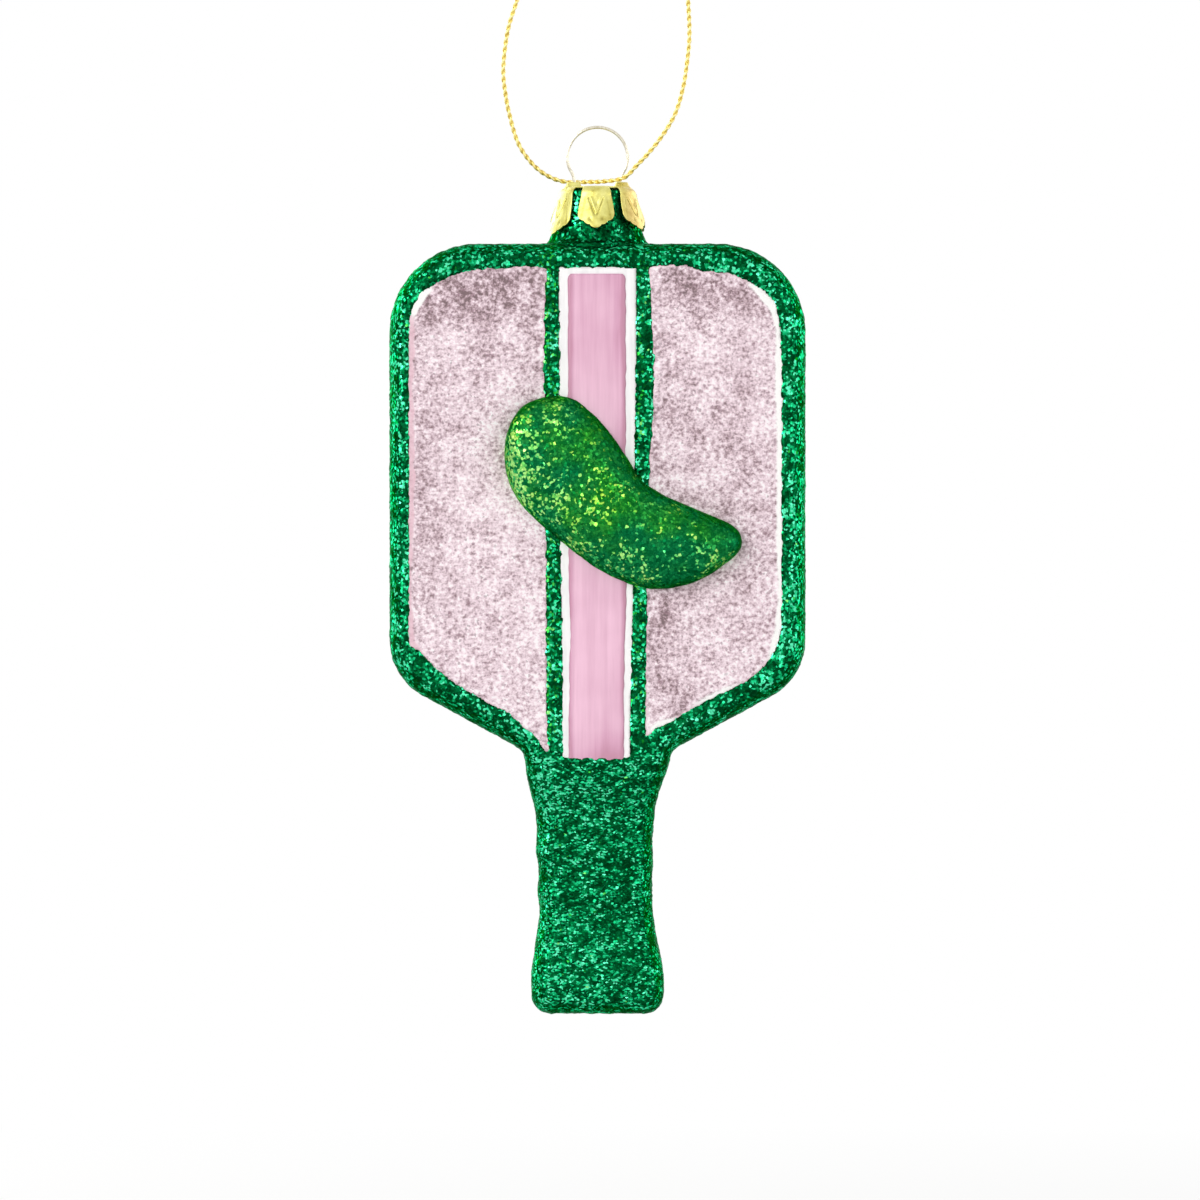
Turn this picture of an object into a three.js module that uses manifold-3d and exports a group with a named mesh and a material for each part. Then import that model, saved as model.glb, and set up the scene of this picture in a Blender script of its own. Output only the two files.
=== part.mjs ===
// Blown-glass pickleball paddle ornament with a foil crown cap, a spring wire hanger and a cord.
// Millimetres, +Z up. The painted face with the pickle looks towards -Y.
// Heights run up from the end of the handle until the last section, which moves the origin
// to the hanging point.

import * as THREE from 'three';
import { mergeVertices } from 'three/addons/utils/BufferGeometryUtils.js';
import Module from 'manifold-3d';

const wasm = await Module();
wasm.setup();

// Head of the paddle, over its glitter
const HEAD_WIDTH = 58.4;
const HEAD_DEPTH = 20;
const HEAD_TOP = 108.1;
const TOP_CORNER_RADIUS = 12.4;
const LOWER_CORNER_HEIGHT = 47.2;
const LOWER_CORNER_RADIUS = 9;
const EDGE_ROUND_ACROSS = 2.3;
const EDGE_ROUND_DEEP = 6;

// Handle, over its glitter
const THROAT_WIDTH = 20.4;
const THROAT_HEIGHT = 36.9;
const THROAT_FILLET = 2;
const WAIST_WIDTH = 15.7;
const WAIST_BOTTOM = 15.5;
const WAIST_TOP = 26;
const THROAT_FLARE_POWER = 1.8;
const KNOB_WIDTH = 18.6;
const KNOB_HEIGHT = 3.5;
const END_CORNER_RADIUS = 2.6;
const GRIP_WRAPS = 6;
const WRAP_RELIEF = 0.15;

// Glass, glue and coats
const GLASS_WALL = 1;
const GLUE_LINE = 0.05;
const GLITTER_COAT = 0.4;
const PANEL_COAT = 0.25;
const ENAMEL_COAT = 0.15;
const LAYER_GAP = 0.1;

// Layout of the painted faces
const RIM_WIDTH = 2.8;
const RIDGE_WIDTH = 2;
const BAND_WIDTH = 10.8;
const BAND_BOTTOM = 35.5;
const BAND_EDGE = 1.3;
const STRIPE_CORNER_RADIUS = 0.9;

// Pickle, over its glitter: its spine and, at even steps along it, its half widths
const PICKLE_SPINE = [
  [-10.0, 85.4],
  [-7.2, 81.2],
  [-4.2, 76.2],
  [3.4, 68.4],
  [8.9, 66.1],
  [16.0, 66.0],
  [20.2, 66.6],
];
const PICKLE_HALF_WIDTHS = [9.3, 8.5, 6.9, 6.7, 5.0];
const PICKLE_BLUNTNESS = 2.9;
const PICKLE_PROUD = 5;

// Neck, over its glitter
const NECK_TOP = 115.6;
const NECK_TOP_RADIUS = 5.1;
const NECK_WAIST_HEIGHT = 112.6;
const NECK_WAIST_RADIUS = 5.35;
const NECK_FLARE_HEIGHT = 110.6;
const NECK_FLARE_RADIUS = 6.1;
const NECK_FOOT_RADIUS = 8;
const NECK_FILLET = 1.4;
const NECK_ROOT_DEPTH = 4;
const NECK_FILLET_DEGREES = [0, 25, 50, 75];

// Crown cap
const CAP_SHEET = 0.3;
const CAP_SEAT_GAP = 0.3;
const CAP_RADIUS = 5.75;
const CAP_SHOULDER_RADIUS = 0.7;
const LEAF_COUNT = 6;
const LEAF_SLOT_TOP = 1.55;
const LEAF_SLOT_MIDDLE = 1.15;
const LEAF_SLOT_TAPER_SHARE = 0.65;
const LEAF_BEND_SHARE = 0.3;
const LEAF_ROOT_TUCK = 0.35;
const LEAF_TIP_DROP = 5.6;
const LEAF_CORNER_RISE = 1.4;
const LEAF_CORNER_POWER = 1.6;
const LEAF_FLARE = 1;
const LEAF_FLARE_POWER = 1.4;
const LEAF_LOBE_SPLIT = 0.38;
const MIDDLE_LOBE_DROP = 0.6;
const MIDDLE_LOBE_POWER = 0.7;
const SIDE_LOBE_DROP = 0.16;
const LEAF_EMBOSS = 0.16;
const PALMETTE = { veinWidth: 0.12, ribWidth: 0.14, ribSpread: 0.75, start: 0.28, full: 0.45 };
const DISC_OVERLAP = 0.1;
const GUIDE_RISE = 0.8;
const GUIDE_WALL = 0.3;
const HOLE_END_CLEARANCE = 0.1;

// Spring wire hanger
const WIRE_DIAMETER = 0.45;
const RING_RADIUS = 4.25;
const RING_LIFT = 0.7;
const LEG_SPACING = 6.4;
const LEG_LENGTH = 13;
const LEG_SPREAD = 0.25;
const LEG_CLEARANCE = 0.25;
const RING_SHOULDER_ANGLE = 0.12;
const RING_POINTS = 16;
const LEG_BEND_DEPTH = 0.2;

// A leg from its end up to the cap: share of its spread and share of its length
const LEG_SHAPE = [
  [1, 0],
  [0.75, 0.45],
  [0.3, 0.8],
  [0, 1],
];

// Hanging cord and its knot
const CORD_DIAMETER = 0.65;
const KNOT_WIDTH = 2.4;
const KNOT_HEIGHT = 3;
const KNOT_GAP = 0.3;
const TAIL_LENGTH = 4.6;
const TAIL_SPREAD = 1.9;
const TAIL_ROOT_SPREAD = 0.3;
const TAIL_EXIT_SPREAD = 0.5;
const TAIL_TWIST = 0.4;

// Route of the cord, from under the knot down the left strand, through the ring and back up
const CORD_ROUTE = [
  [-0.42, 0, 182.3],
  [-0.8, 0, 179.5],
  [-2.0, 0.1, 174.5],
  [-3.6, 0.2, 168.5],
  [-5.4, 0.3, 162.0],
  [-7.3, 0.4, 155.5],
  [-9.3, 0.5, 149.0],
  [-11.35, 0.6, 142.7],
  [-12.6, 0.8, 138.7],
  [-13.3, 1.0, 132.8],
  [-13.0, 1.2, 129.6],
  [-12.4, 1.4, 126.5],
  [-11.0, 1.5, 122.2],
  [-8.6, 1.6, 119.1],
  [-6.2, 1.6, 117.6],
  [-4.1, 1.5, 117.1],
  [-1.6, 0.7, 117.1],
  [0.9, -0.5, 117.1],
  [3.8, -1.5, 117.6],
  [5.45, -1.6, 119.2],
  [7.25, -1.6, 121.1],
  [9.2, -1.5, 123.6],
  [10.9, -1.4, 126.5],
  [12.0, -1.2, 130.0],
  [12.6, -1.0, 133.7],
  [12.95, -0.8, 137.6],
  [12.75, -0.6, 142.7],
  [12.3, -0.5, 148.5],
  [11.4, -0.4, 154.5],
  [9.8, -0.3, 160.5],
  [7.5, -0.2, 166.5],
  [4.8, -0.1, 172.3],
  [2.2, 0, 177.4],
  [0.75, 0, 180.6],
  [0.42, 0, 182.3],
];

// Facets
const OUTSIDE_DETAIL = { cornerSegments: 6, samplesPerWrap: 4, edgeSegments: 3 };
const CAVITY_DETAIL = { cornerSegments: 4, samplesPerWrap: 2, edgeSegments: 2 };
const HOLE_SEGMENTS = 5;
const PICKLE_STATIONS = 12;
const PICKLE_SIDES = 12;
const ROUND_SIDES = 30;
const MIDDLE_LOBE_COLUMNS = 4;
const SIDE_LOBE_COLUMNS = 4;
const LEAF_ROWS = 8;
const WIRE_SIDES = 6;
const WIRE_STEPS = 56;
const CORD_SIDES = 8;
const CORD_STEPS = 64;
const TAIL_STEPS = 5;
const KNOT_SIDES = 12;
const KNOT_ROWS = 8;
const MERGE_DISTANCE = 0.0001;
const SLOPE_STEP = 0.01;

// Sizes that follow from the ones above
const HALF_HEAD = HEAD_WIDTH / 2;
const HALF_THROAT = THROAT_WIDTH / 2;
const GLASS_INSET = GLITTER_COAT + GLUE_LINE;
const GLASS_FACE = HEAD_DEPTH / 2 - GLASS_INSET;
const CAVITY_INSET = GLASS_INSET + GLASS_WALL;
const DIAGONAL_ANGLE = Math.atan2(LOWER_CORNER_HEIGHT - THROAT_HEIGHT, HALF_HEAD - HALF_THROAT);
const BEND_ANGLE = Math.PI / 2 - DIAGONAL_ANGLE;
const GRIP_TOP = THROAT_HEIGHT - THROAT_FILLET * Math.tan(BEND_ANGLE / 2);
const WRAP_PITCH = (GRIP_TOP - END_CORNER_RADIUS) / GRIP_WRAPS;
const BAND_TOP = HEAD_TOP - RIM_WIDTH;
const PANEL_INNER = BAND_WIDTH / 2 + RIDGE_WIDTH;
const STRIPE_WIDTH = BAND_WIDTH - 2 * BAND_EDGE;
const STRIPE_TOP = BAND_TOP - BAND_EDGE;
const CAP_UNDERSIDE = NECK_TOP + CAP_SEAT_GAP;
const CAP_TOP = CAP_UNDERSIDE + CAP_SHEET;
const RING_BOTTOM_GAP = Math.sqrt(RING_RADIUS ** 2 - (LEG_SPACING / 2) ** 2);
const GUIDE_TOP = CAP_TOP + GUIDE_RISE;
const RING_CENTRE = GUIDE_TOP + RING_BOTTOM_GAP + RING_LIFT;
const HANGING_HEIGHT = CORD_ROUTE[0][2] + KNOT_GAP;

// Materials
const GREEN_GLITTER = { color: 0x14754a, roughness: 0.35, metalness: 0.5 };
const PICKLE_GLITTER = { color: 0x3f9a3c, roughness: 0.35, metalness: 0.5 };
const PINK_GLITTER = { color: 0xe4cfd8, roughness: 0.55, metalness: 0.2 };
const WHITE_ENAMEL = { color: 0xf4f4f2, roughness: 0.4, metalness: 0 };
const PINK_SATIN = { color: 0xe4b8cd, roughness: 0.35, metalness: 0 };
const CLEAR_GLASS = { color: 0xd5dedb, roughness: 0.05, metalness: 0 };
const PALE_GOLD = { color: 0xe9dc8c, roughness: 0.25, metalness: 1 };
const SPRING_WIRE = { color: 0xcfc6a8, roughness: 0.25, metalness: 1 };
const GOLD_CORD = { color: 0xdcb84f, roughness: 0.4, metalness: 0.7 };

// Joining and cutting of closed solids

/** Closed solid of a three.js geometry, with its doubled vertices merged. */
function solidOf(geometry) {
  const bare = geometry.clone();
  bare.deleteAttribute('normal');
  bare.deleteAttribute('uv');
  const merged = mergeVertices(bare, MERGE_DISTANCE);
  return solidOfArrays(merged.attributes.position.array, merged.index.array);
}

/** Closed solid of plain lists of coordinates and triangle corners. */
function solidOfArrays(positions, triangles) {
  const mesh = new wasm.Mesh({
    numProp: 3,
    vertProperties: Float32Array.from(positions),
    triVerts: Uint32Array.from(triangles),
  });
  return new wasm.Manifold(mesh);
}

/** Geometry of a solid, with flat facets. */
function geometryOf(solid) {
  const mesh = solid.getMesh();
  const geometry = new THREE.BufferGeometry();
  geometry.setAttribute('position', new THREE.BufferAttribute(mesh.vertProperties, 3));
  geometry.setIndex(new THREE.BufferAttribute(mesh.triVerts, 1));
  const facets = geometry.toNonIndexed();
  facets.computeVertexNormals();
  return facets;
}

/** Smooth step from 0 to 1 as value goes from start to end. */
function blend(value, start, end) {
  return THREE.MathUtils.smoothstep((value - start) / (end - start), 0, 1);
}

/** Solid turned from a closed profile of [radius, height] points round the Z axis. */
function turned(profile, sides = ROUND_SIDES) {
  const points = profile.map(([radius, height]) => new THREE.Vector2(radius, height));
  const geometry = new THREE.LatheGeometry(points, sides);
  geometry.rotateX(Math.PI / 2);
  return solidOf(geometry);
}

/** Plate with the outline of a shape in X and Z, from one depth Y to a lower one. */
function plate(shape, fromY, toY) {
  const geometry = new THREE.ExtrudeGeometry(shape, {
    depth: fromY - toY,
    bevelEnabled: false,
    curveSegments: OUTSIDE_DETAIL.cornerSegments,
  });
  geometry.rotateX(Math.PI / 2);
  geometry.translate(0, fromY, 0);
  return solidOf(geometry);
}

/** Round tube of a given diameter along a curve. */
function tube(curve, diameter, sides, steps) {
  const section = new THREE.Shape();
  for (let side = 0; side < sides; side += 1) {
    const angle = (2 * Math.PI * side) / sides;
    const x = (diameter / 2) * Math.cos(angle);
    const y = (diameter / 2) * Math.sin(angle);
    if (side === 0) {
      section.moveTo(x, y);
    } else {
      section.lineTo(x, y);
    }
  }
  section.closePath();
  return new THREE.ExtrudeGeometry(section, { steps, bevelEnabled: false, extrudePath: curve });
}

// Outline of the paddle

/** Half width of the grip at a height: knob, waist and throat, with the raised wraps. */
function gripHalfWidth(height) {
  const upFlare = THREE.MathUtils.clamp((height - WAIST_TOP) / (GRIP_TOP - WAIST_TOP), 0, 1);
  const toThroat = upFlare ** THROAT_FLARE_POWER;
  const toKnob = 1 - blend(height, KNOB_HEIGHT, WAIST_BOTTOM);
  const half = (WAIST_WIDTH + (THROAT_WIDTH - WAIST_WIDTH) * toThroat
    + (KNOB_WIDTH - WAIST_WIDTH) * toKnob) / 2;
  const turns = (height - END_CORNER_RADIUS) / WRAP_PITCH;
  return half + WRAP_RELIEF * 0.5 * (1 - Math.cos(2 * Math.PI * turns));
}

/** Half depth of the paddle: the head's own, and on the grip in step with its width. */
function halfDepth(height) {
  const onGrip = Math.min(Math.max(height, END_CORNER_RADIUS), GRIP_TOP);
  return (HEAD_DEPTH / 2) * (gripHalfWidth(onGrip) / HALF_THROAT);
}

/** Points on an arc with the direction that faces out of the paddle at each of them. */
function arcSamples(centreX, centreZ, radius, fromAngle, toAngle, segments, outward) {
  return Array.from({ length: segments + 1 }, (_, index) => {
    const angle = fromAngle + ((toAngle - fromAngle) * index) / segments;
    return {
      x: centreX + radius * Math.cos(angle),
      z: centreZ + radius * Math.sin(angle),
      outX: outward * Math.cos(angle),
      outZ: outward * Math.sin(angle),
    };
  });
}

/** Right half of the paddle's outline, from the handle's end up to the flat top edge. */
function halfOutline({ cornerSegments, samplesPerWrap }) {
  const quarter = Math.PI / 2;
  const smallSegments = cornerSegments / 2;
  const endCentreX = gripHalfWidth(END_CORNER_RADIUS) - END_CORNER_RADIUS;
  const end = arcSamples(endCentreX, END_CORNER_RADIUS, END_CORNER_RADIUS, -quarter, 0,
    smallSegments, 1);

  const grip = [];
  const gripSteps = GRIP_WRAPS * samplesPerWrap;
  for (let step = 1; step < gripSteps; step += 1) {
    const z = END_CORNER_RADIUS + ((GRIP_TOP - END_CORNER_RADIUS) * step) / gripSteps;
    const rise = gripHalfWidth(z + SLOPE_STEP) - gripHalfWidth(z - SLOPE_STEP);
    const slope = rise / (2 * SLOPE_STEP);
    const length = Math.hypot(1, slope);
    grip.push({ x: gripHalfWidth(z), z, outX: 1 / length, outZ: -slope / length });
  }

  const throat = arcSamples(HALF_THROAT + THROAT_FILLET, GRIP_TOP, THROAT_FILLET,
    Math.PI, Math.PI - BEND_ANGLE, smallSegments, -1);
  const lowerCentreX = HALF_HEAD - LOWER_CORNER_RADIUS;
  const lowerCentreZ = LOWER_CORNER_HEIGHT + LOWER_CORNER_RADIUS * Math.tan(BEND_ANGLE / 2);
  const lower = arcSamples(lowerCentreX, lowerCentreZ, LOWER_CORNER_RADIUS, -BEND_ANGLE, 0,
    cornerSegments, 1);
  const top = arcSamples(HALF_HEAD - TOP_CORNER_RADIUS, HEAD_TOP - TOP_CORNER_RADIUS,
    TOP_CORNER_RADIUS, 0, quarter, cornerSegments, 1);
  return [...end, ...grip, ...throat, ...lower, ...top];
}

/** Rounded edge from the front face to the back: inset from the outline and depth. */
function edgeProfile(grow, segments) {
  const across = EDGE_ROUND_ACROSS + grow;
  const deep = EDGE_ROUND_DEEP + grow;
  const front = Array.from({ length: segments + 1 }, (_, index) => {
    const angle = (Math.PI / 2) * (index / segments);
    return { inset: across * (1 - Math.sin(angle)), rise: deep * Math.cos(angle), side: -1 };
  });
  const back = front.map((point) => ({ ...point, side: 1 })).reverse();
  return [...front, ...back];
}

/** Whole paddle without its neck, grown or shrunk from its finished outside. */
function paddle(grow, detail = OUTSIDE_DETAIL) {
  const positions = [];
  const triangles = [];
  const outline = halfOutline(detail);
  const mirrored = outline.map((sample) => ({ ...sample, mirror: -1 })).reverse();
  const loop = [...outline.map((sample) => ({ ...sample, mirror: 1 })), ...mirrored];
  const profile = edgeProfile(grow, detail.edgeSegments);
  for (const { inset, rise, side } of profile) {
    for (const { x, z, outX, outZ, mirror } of loop) {
      const band = halfDepth(z) - EDGE_ROUND_DEEP;
      const shift = grow - inset;
      positions.push(mirror * (x + outX * shift), side * (band + rise), z + outZ * shift);
    }
  }

  const count = loop.length;
  for (let row = 0; row + 1 < profile.length; row += 1) {
    for (let index = 0; index < count; index += 1) {
      const a = row * count + index;
      const b = row * count + ((index + 1) % count);
      triangles.push(a, a + count, b + count, a, b + count, b);
    }
  }
  const last = (profile.length - 1) * count;
  for (let right = 0; right + 1 < outline.length; right += 1) {
    const left = count - 1 - right;
    triangles.push(right, right + 1, left - 1, right, left - 1, left);
    triangles.push(last + right, last + left - 1, last + right + 1);
    triangles.push(last + right, last + left, last + left - 1);
  }
  return solidOfArrays(positions, triangles);
}

/** Round neck that grows out of the head's top edge, up to a given height. */
function neck(grow, top) {
  const root = HEAD_TOP - NECK_ROOT_DEPTH;
  const fillet = NECK_FILLET_DEGREES.map((degrees) => {
    const angle = THREE.MathUtils.degToRad(degrees);
    const radius = NECK_FOOT_RADIUS - NECK_FILLET * Math.sin(angle) + grow;
    return [radius, HEAD_TOP + NECK_FILLET * (1 - Math.cos(angle))];
  });
  return turned([
    [0, root],
    [NECK_FOOT_RADIUS + grow, root],
    ...fillet,
    [NECK_FLARE_RADIUS + grow, NECK_FLARE_HEIGHT],
    [NECK_WAIST_RADIUS + grow, NECK_WAIST_HEIGHT],
    [NECK_TOP_RADIUS + grow, top],
    [0, top],
  ]);
}

/** Pickle: a blunt oval that tapers along its bent spine, half sunk in the front face. */
function pickle(grow) {
  const points = PICKLE_SPINE.map(([x, z]) => new THREE.Vector3(x, -GLASS_FACE, z));
  const spine = new THREE.CatmullRomCurve3(points, false, 'centripetal');
  const widths = new THREE.SplineCurve(
    PICKLE_HALF_WIDTHS.map((halfWidth, index) => new THREE.Vector2(index, halfWidth)),
  );
  const trim = -grow / spine.getLength();
  const positions = [];
  const triangles = [];
  const ringAt = (share) => {
    const place = THREE.MathUtils.lerp(trim, 1 - trim, share);
    const clamped = THREE.MathUtils.clamp(place, 0, 1);
    const centre = spine.getPointAt(clamped);
    const along = spine.getTangentAt(clamped);
    centre.addScaledVector(along, (place - clamped) * spine.getLength());
    const across = new THREE.Vector3(along.z, 0, -along.x);
    const swell = Math.sqrt(1 - Math.abs(2 * share - 1) ** PICKLE_BLUNTNESS);
    const wide = (widths.getPoint(share).y + grow) * swell;
    const deep = (PICKLE_PROUD + grow) * swell;
    return { centre, across, wide, deep };
  };
  const start = ringAt(0).centre;
  positions.push(start.x, start.y, start.z);
  for (let station = 1; station < PICKLE_STATIONS; station += 1) {
    const share = (1 - Math.cos((Math.PI * station) / PICKLE_STATIONS)) / 2;
    const { centre, across, wide, deep } = ringAt(share);
    for (let side = 0; side < PICKLE_SIDES; side += 1) {
      const angle = (2 * Math.PI * side) / PICKLE_SIDES;
      const point = centre.clone().addScaledVector(across, wide * Math.cos(angle));
      positions.push(point.x, point.y + deep * Math.sin(angle), point.z);
    }
  }
  const end = ringAt(1).centre;
  positions.push(end.x, end.y, end.z);

  const lastRing = 1 + (PICKLE_STATIONS - 2) * PICKLE_SIDES;
  const pole = positions.length / 3 - 1;
  for (let side = 0; side < PICKLE_SIDES; side += 1) {
    const next = (side + 1) % PICKLE_SIDES;
    triangles.push(0, 1 + next, 1 + side, pole, lastRing + side, lastRing + next);
    for (let ring = 1; ring < lastRing; ring += PICKLE_SIDES) {
      const above = ring + PICKLE_SIDES;
      triangles.push(ring + side, ring + next, above + next);
      triangles.push(ring + side, above + next, above + side);
    }
  }
  return solidOfArrays(positions, triangles);
}

// Painted areas of a face, as shapes in X and Z

/** Four-sided area between two widths and two heights. */
function rectangle(left, right, bottom, top) {
  const shape = new THREE.Shape();
  shape.moveTo(left, bottom);
  shape.lineTo(right, bottom);
  shape.lineTo(right, top);
  shape.lineTo(left, top);
  shape.closePath();
  return shape;
}

/** Upright strip about the middle line, with its two top corners rounded. */
function strip(width, bottom, top, cornerRadius) {
  const half = width / 2;
  const centreX = half - cornerRadius;
  const centreZ = top - cornerRadius;
  const shape = new THREE.Shape();
  shape.moveTo(-half, bottom);
  shape.lineTo(half, bottom);
  shape.absarc(centreX, centreZ, cornerRadius, 0, Math.PI / 2, false);
  shape.absarc(-centreX, centreZ, cornerRadius, Math.PI / 2, Math.PI, false);
  shape.closePath();
  return shape;
}

/** Panel right of the middle, inside the rim, drawn in by a margin all round. */
function panelShape(margin) {
  const inset = RIM_WIDTH + margin;
  const inner = PANEL_INNER + margin;
  const top = HEAD_TOP - inset;
  const lift = inset / Math.cos(DIAGONAL_ANGLE);
  const tip = THROAT_HEIGHT + (inner - HALF_THROAT) * Math.tan(DIAGONAL_ANGLE) + lift;
  const lowerX = HALF_HEAD - LOWER_CORNER_RADIUS;
  const lowerZ = LOWER_CORNER_HEIGHT + LOWER_CORNER_RADIUS * Math.tan(BEND_ANGLE / 2);
  const topX = HALF_HEAD - TOP_CORNER_RADIUS;
  const topZ = HEAD_TOP - TOP_CORNER_RADIUS;
  const shape = new THREE.Shape();
  shape.moveTo(inner, top);
  shape.lineTo(inner, tip);
  shape.absarc(lowerX, lowerZ, LOWER_CORNER_RADIUS - inset, -BEND_ANGLE, 0, false);
  shape.absarc(topX, topZ, TOP_CORNER_RADIUS - inset, 0, Math.PI / 2, false);
  shape.closePath();
  return shape;
}

/** White band on the middle line, drawn in by a margin at its sides and ends. */
function bandShape(margin) {
  const half = BAND_WIDTH / 2 - margin;
  return rectangle(-half, half, BAND_BOTTOM + margin, BAND_TOP - margin);
}

/** The same solid seen from behind: turned half round the Z axis. */
function onBack(solid) {
  return solid.rotate([0, 0, 180]);
}

/** The same solid on the left of the middle. */
function onLeft(solid) {
  return solid.mirror([1, 0, 0]);
}

// Glass body: a blown shell, open at the neck, with the pickle blown in its face

/** Hollow glass of the paddle, its pickle and its neck. */
function glassBody() {
  const outside = paddle(-GLASS_INSET)
    .add(neck(-GLASS_INSET, NECK_TOP))
    .add(pickle(-GLASS_INSET));
  const inside = paddle(-CAVITY_INSET, CAVITY_DETAIL)
    .add(neck(-CAVITY_INSET, NECK_TOP + GLASS_WALL))
    .add(pickle(-CAVITY_INSET));
  return outside.subtract(inside);
}

// Coats on the glass

/** Space in front of the face from which the glitter coat leaves out the painted areas. */
function paintWindows() {
  const from = -(GLASS_FACE - GLASS_WALL);
  const to = -(HEAD_DEPTH / 2 + GLASS_WALL);
  const panel = plate(panelShape(0), from, to);
  const band = plate(bandShape(0), from, to);
  return panel.add(onLeft(panel)).add(band);
}

/** Green glitter over the rim, the ridge lines, the sides, the handle and the neck. */
function greenCoat() {
  const coatTop = NECK_TOP - GLUE_LINE;
  const outside = paddle(0).add(neck(0, coatTop));
  const inside = paddle(-GLITTER_COAT).add(neck(-GLITTER_COAT, NECK_TOP + GLASS_WALL));
  const windows = paintWindows();
  return outside
    .subtract(inside)
    .subtract(windows)
    .subtract(onBack(windows))
    .subtract(pickle(LAYER_GAP));
}

/** Glitter over the dome of the pickle, in front of the face. */
function pickleCoat() {
  const behind = plate(rectangle(-HEAD_WIDTH, HEAD_WIDTH, 0, HEAD_TOP), HEAD_DEPTH,
    -(GLASS_FACE + GLUE_LINE));
  return pickle(0).subtract(pickle(-GLITTER_COAT)).subtract(behind);
}

/** Front panel right of the middle, cut round the pickle. */
function frontPanel() {
  const from = -(GLASS_FACE + GLUE_LINE);
  return plate(panelShape(LAYER_GAP), from, from - PANEL_COAT);
}

/** White enamel band under the stripe. */
function enamelBand() {
  const from = -(GLASS_FACE + GLUE_LINE);
  return plate(bandShape(LAYER_GAP), from, from - ENAMEL_COAT);
}

/** Satin stripe painted over the band, which shows as its white edge. */
function satinStripe() {
  const from = -(GLASS_FACE + 2 * GLUE_LINE + ENAMEL_COAT);
  const shape = strip(STRIPE_WIDTH, BAND_BOTTOM + LAYER_GAP, STRIPE_TOP, STRIPE_CORNER_RADIUS);
  return plate(shape, from, from - ENAMEL_COAT);
}

/** Part of a front layer above or below the pickle, which parts it in two. */
function partedByPickle(layer, upper) {
  const parts = layer.subtract(pickle(LAYER_GAP)).decompose();
  const heightOf = (solid) => solid.boundingBox().max[2];
  parts.sort((one, other) => heightOf(other) - heightOf(one));
  return upper ? parts[0] : parts[parts.length - 1];
}

// Crown cap: a pressed foil disc with six scalloped, embossed leaves

/** Drop of a leaf's lower edge below its notches, across the leaf from -1 to 1. */
function lobeDrop(across) {
  const distance = Math.abs(across);
  if (distance < LEAF_LOBE_SPLIT) {
    const hang = Math.cos((Math.PI / 2) * (distance / LEAF_LOBE_SPLIT));
    return MIDDLE_LOBE_DROP * hang ** MIDDLE_LOBE_POWER;
  }
  const share = (distance - LEAF_LOBE_SPLIT) / (1 - LEAF_LOBE_SPLIT);
  const rise = LEAF_CORNER_RISE * share ** LEAF_CORNER_POWER;
  return SIDE_LOBE_DROP * Math.sin(Math.PI * share) - rise;
}

/** Height of the pressed palmette: a rim along the lobes, a vein and two ribs in a V. */
function leafRelief(across, down) {
  const { veinWidth, ribWidth, ribSpread, start, full } = PALMETTE;
  const ridge = (distance, width) => Math.exp(-((distance / width) ** 2));
  const vein = ridge(across, veinWidth) * blend(down, full, 1);
  const rib = ridge(Math.abs(across) - ribSpread * (1 - down), ribWidth);
  const edge = ridge(1 - Math.abs(across), veinWidth);
  return LEAF_EMBOSS * blend(down, start, full) * Math.min(1, vein + rib + edge);
}

/** Places of a leaf's columns, from -1 to 1 across it, with one on each notch. */
function leafColumns() {
  const places = [];
  const spread = (from, to, count) => {
    for (let index = 0; index < count; index += 1) {
      places.push(THREE.MathUtils.lerp(from, to, index / count));
    }
  };
  spread(-1, -LEAF_LOBE_SPLIT, SIDE_LOBE_COLUMNS);
  spread(-LEAF_LOBE_SPLIT, LEAF_LOBE_SPLIT, MIDDLE_LOBE_COLUMNS);
  spread(LEAF_LOBE_SPLIT, 1, SIDE_LOBE_COLUMNS);
  return [...places, 1];
}

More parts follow.
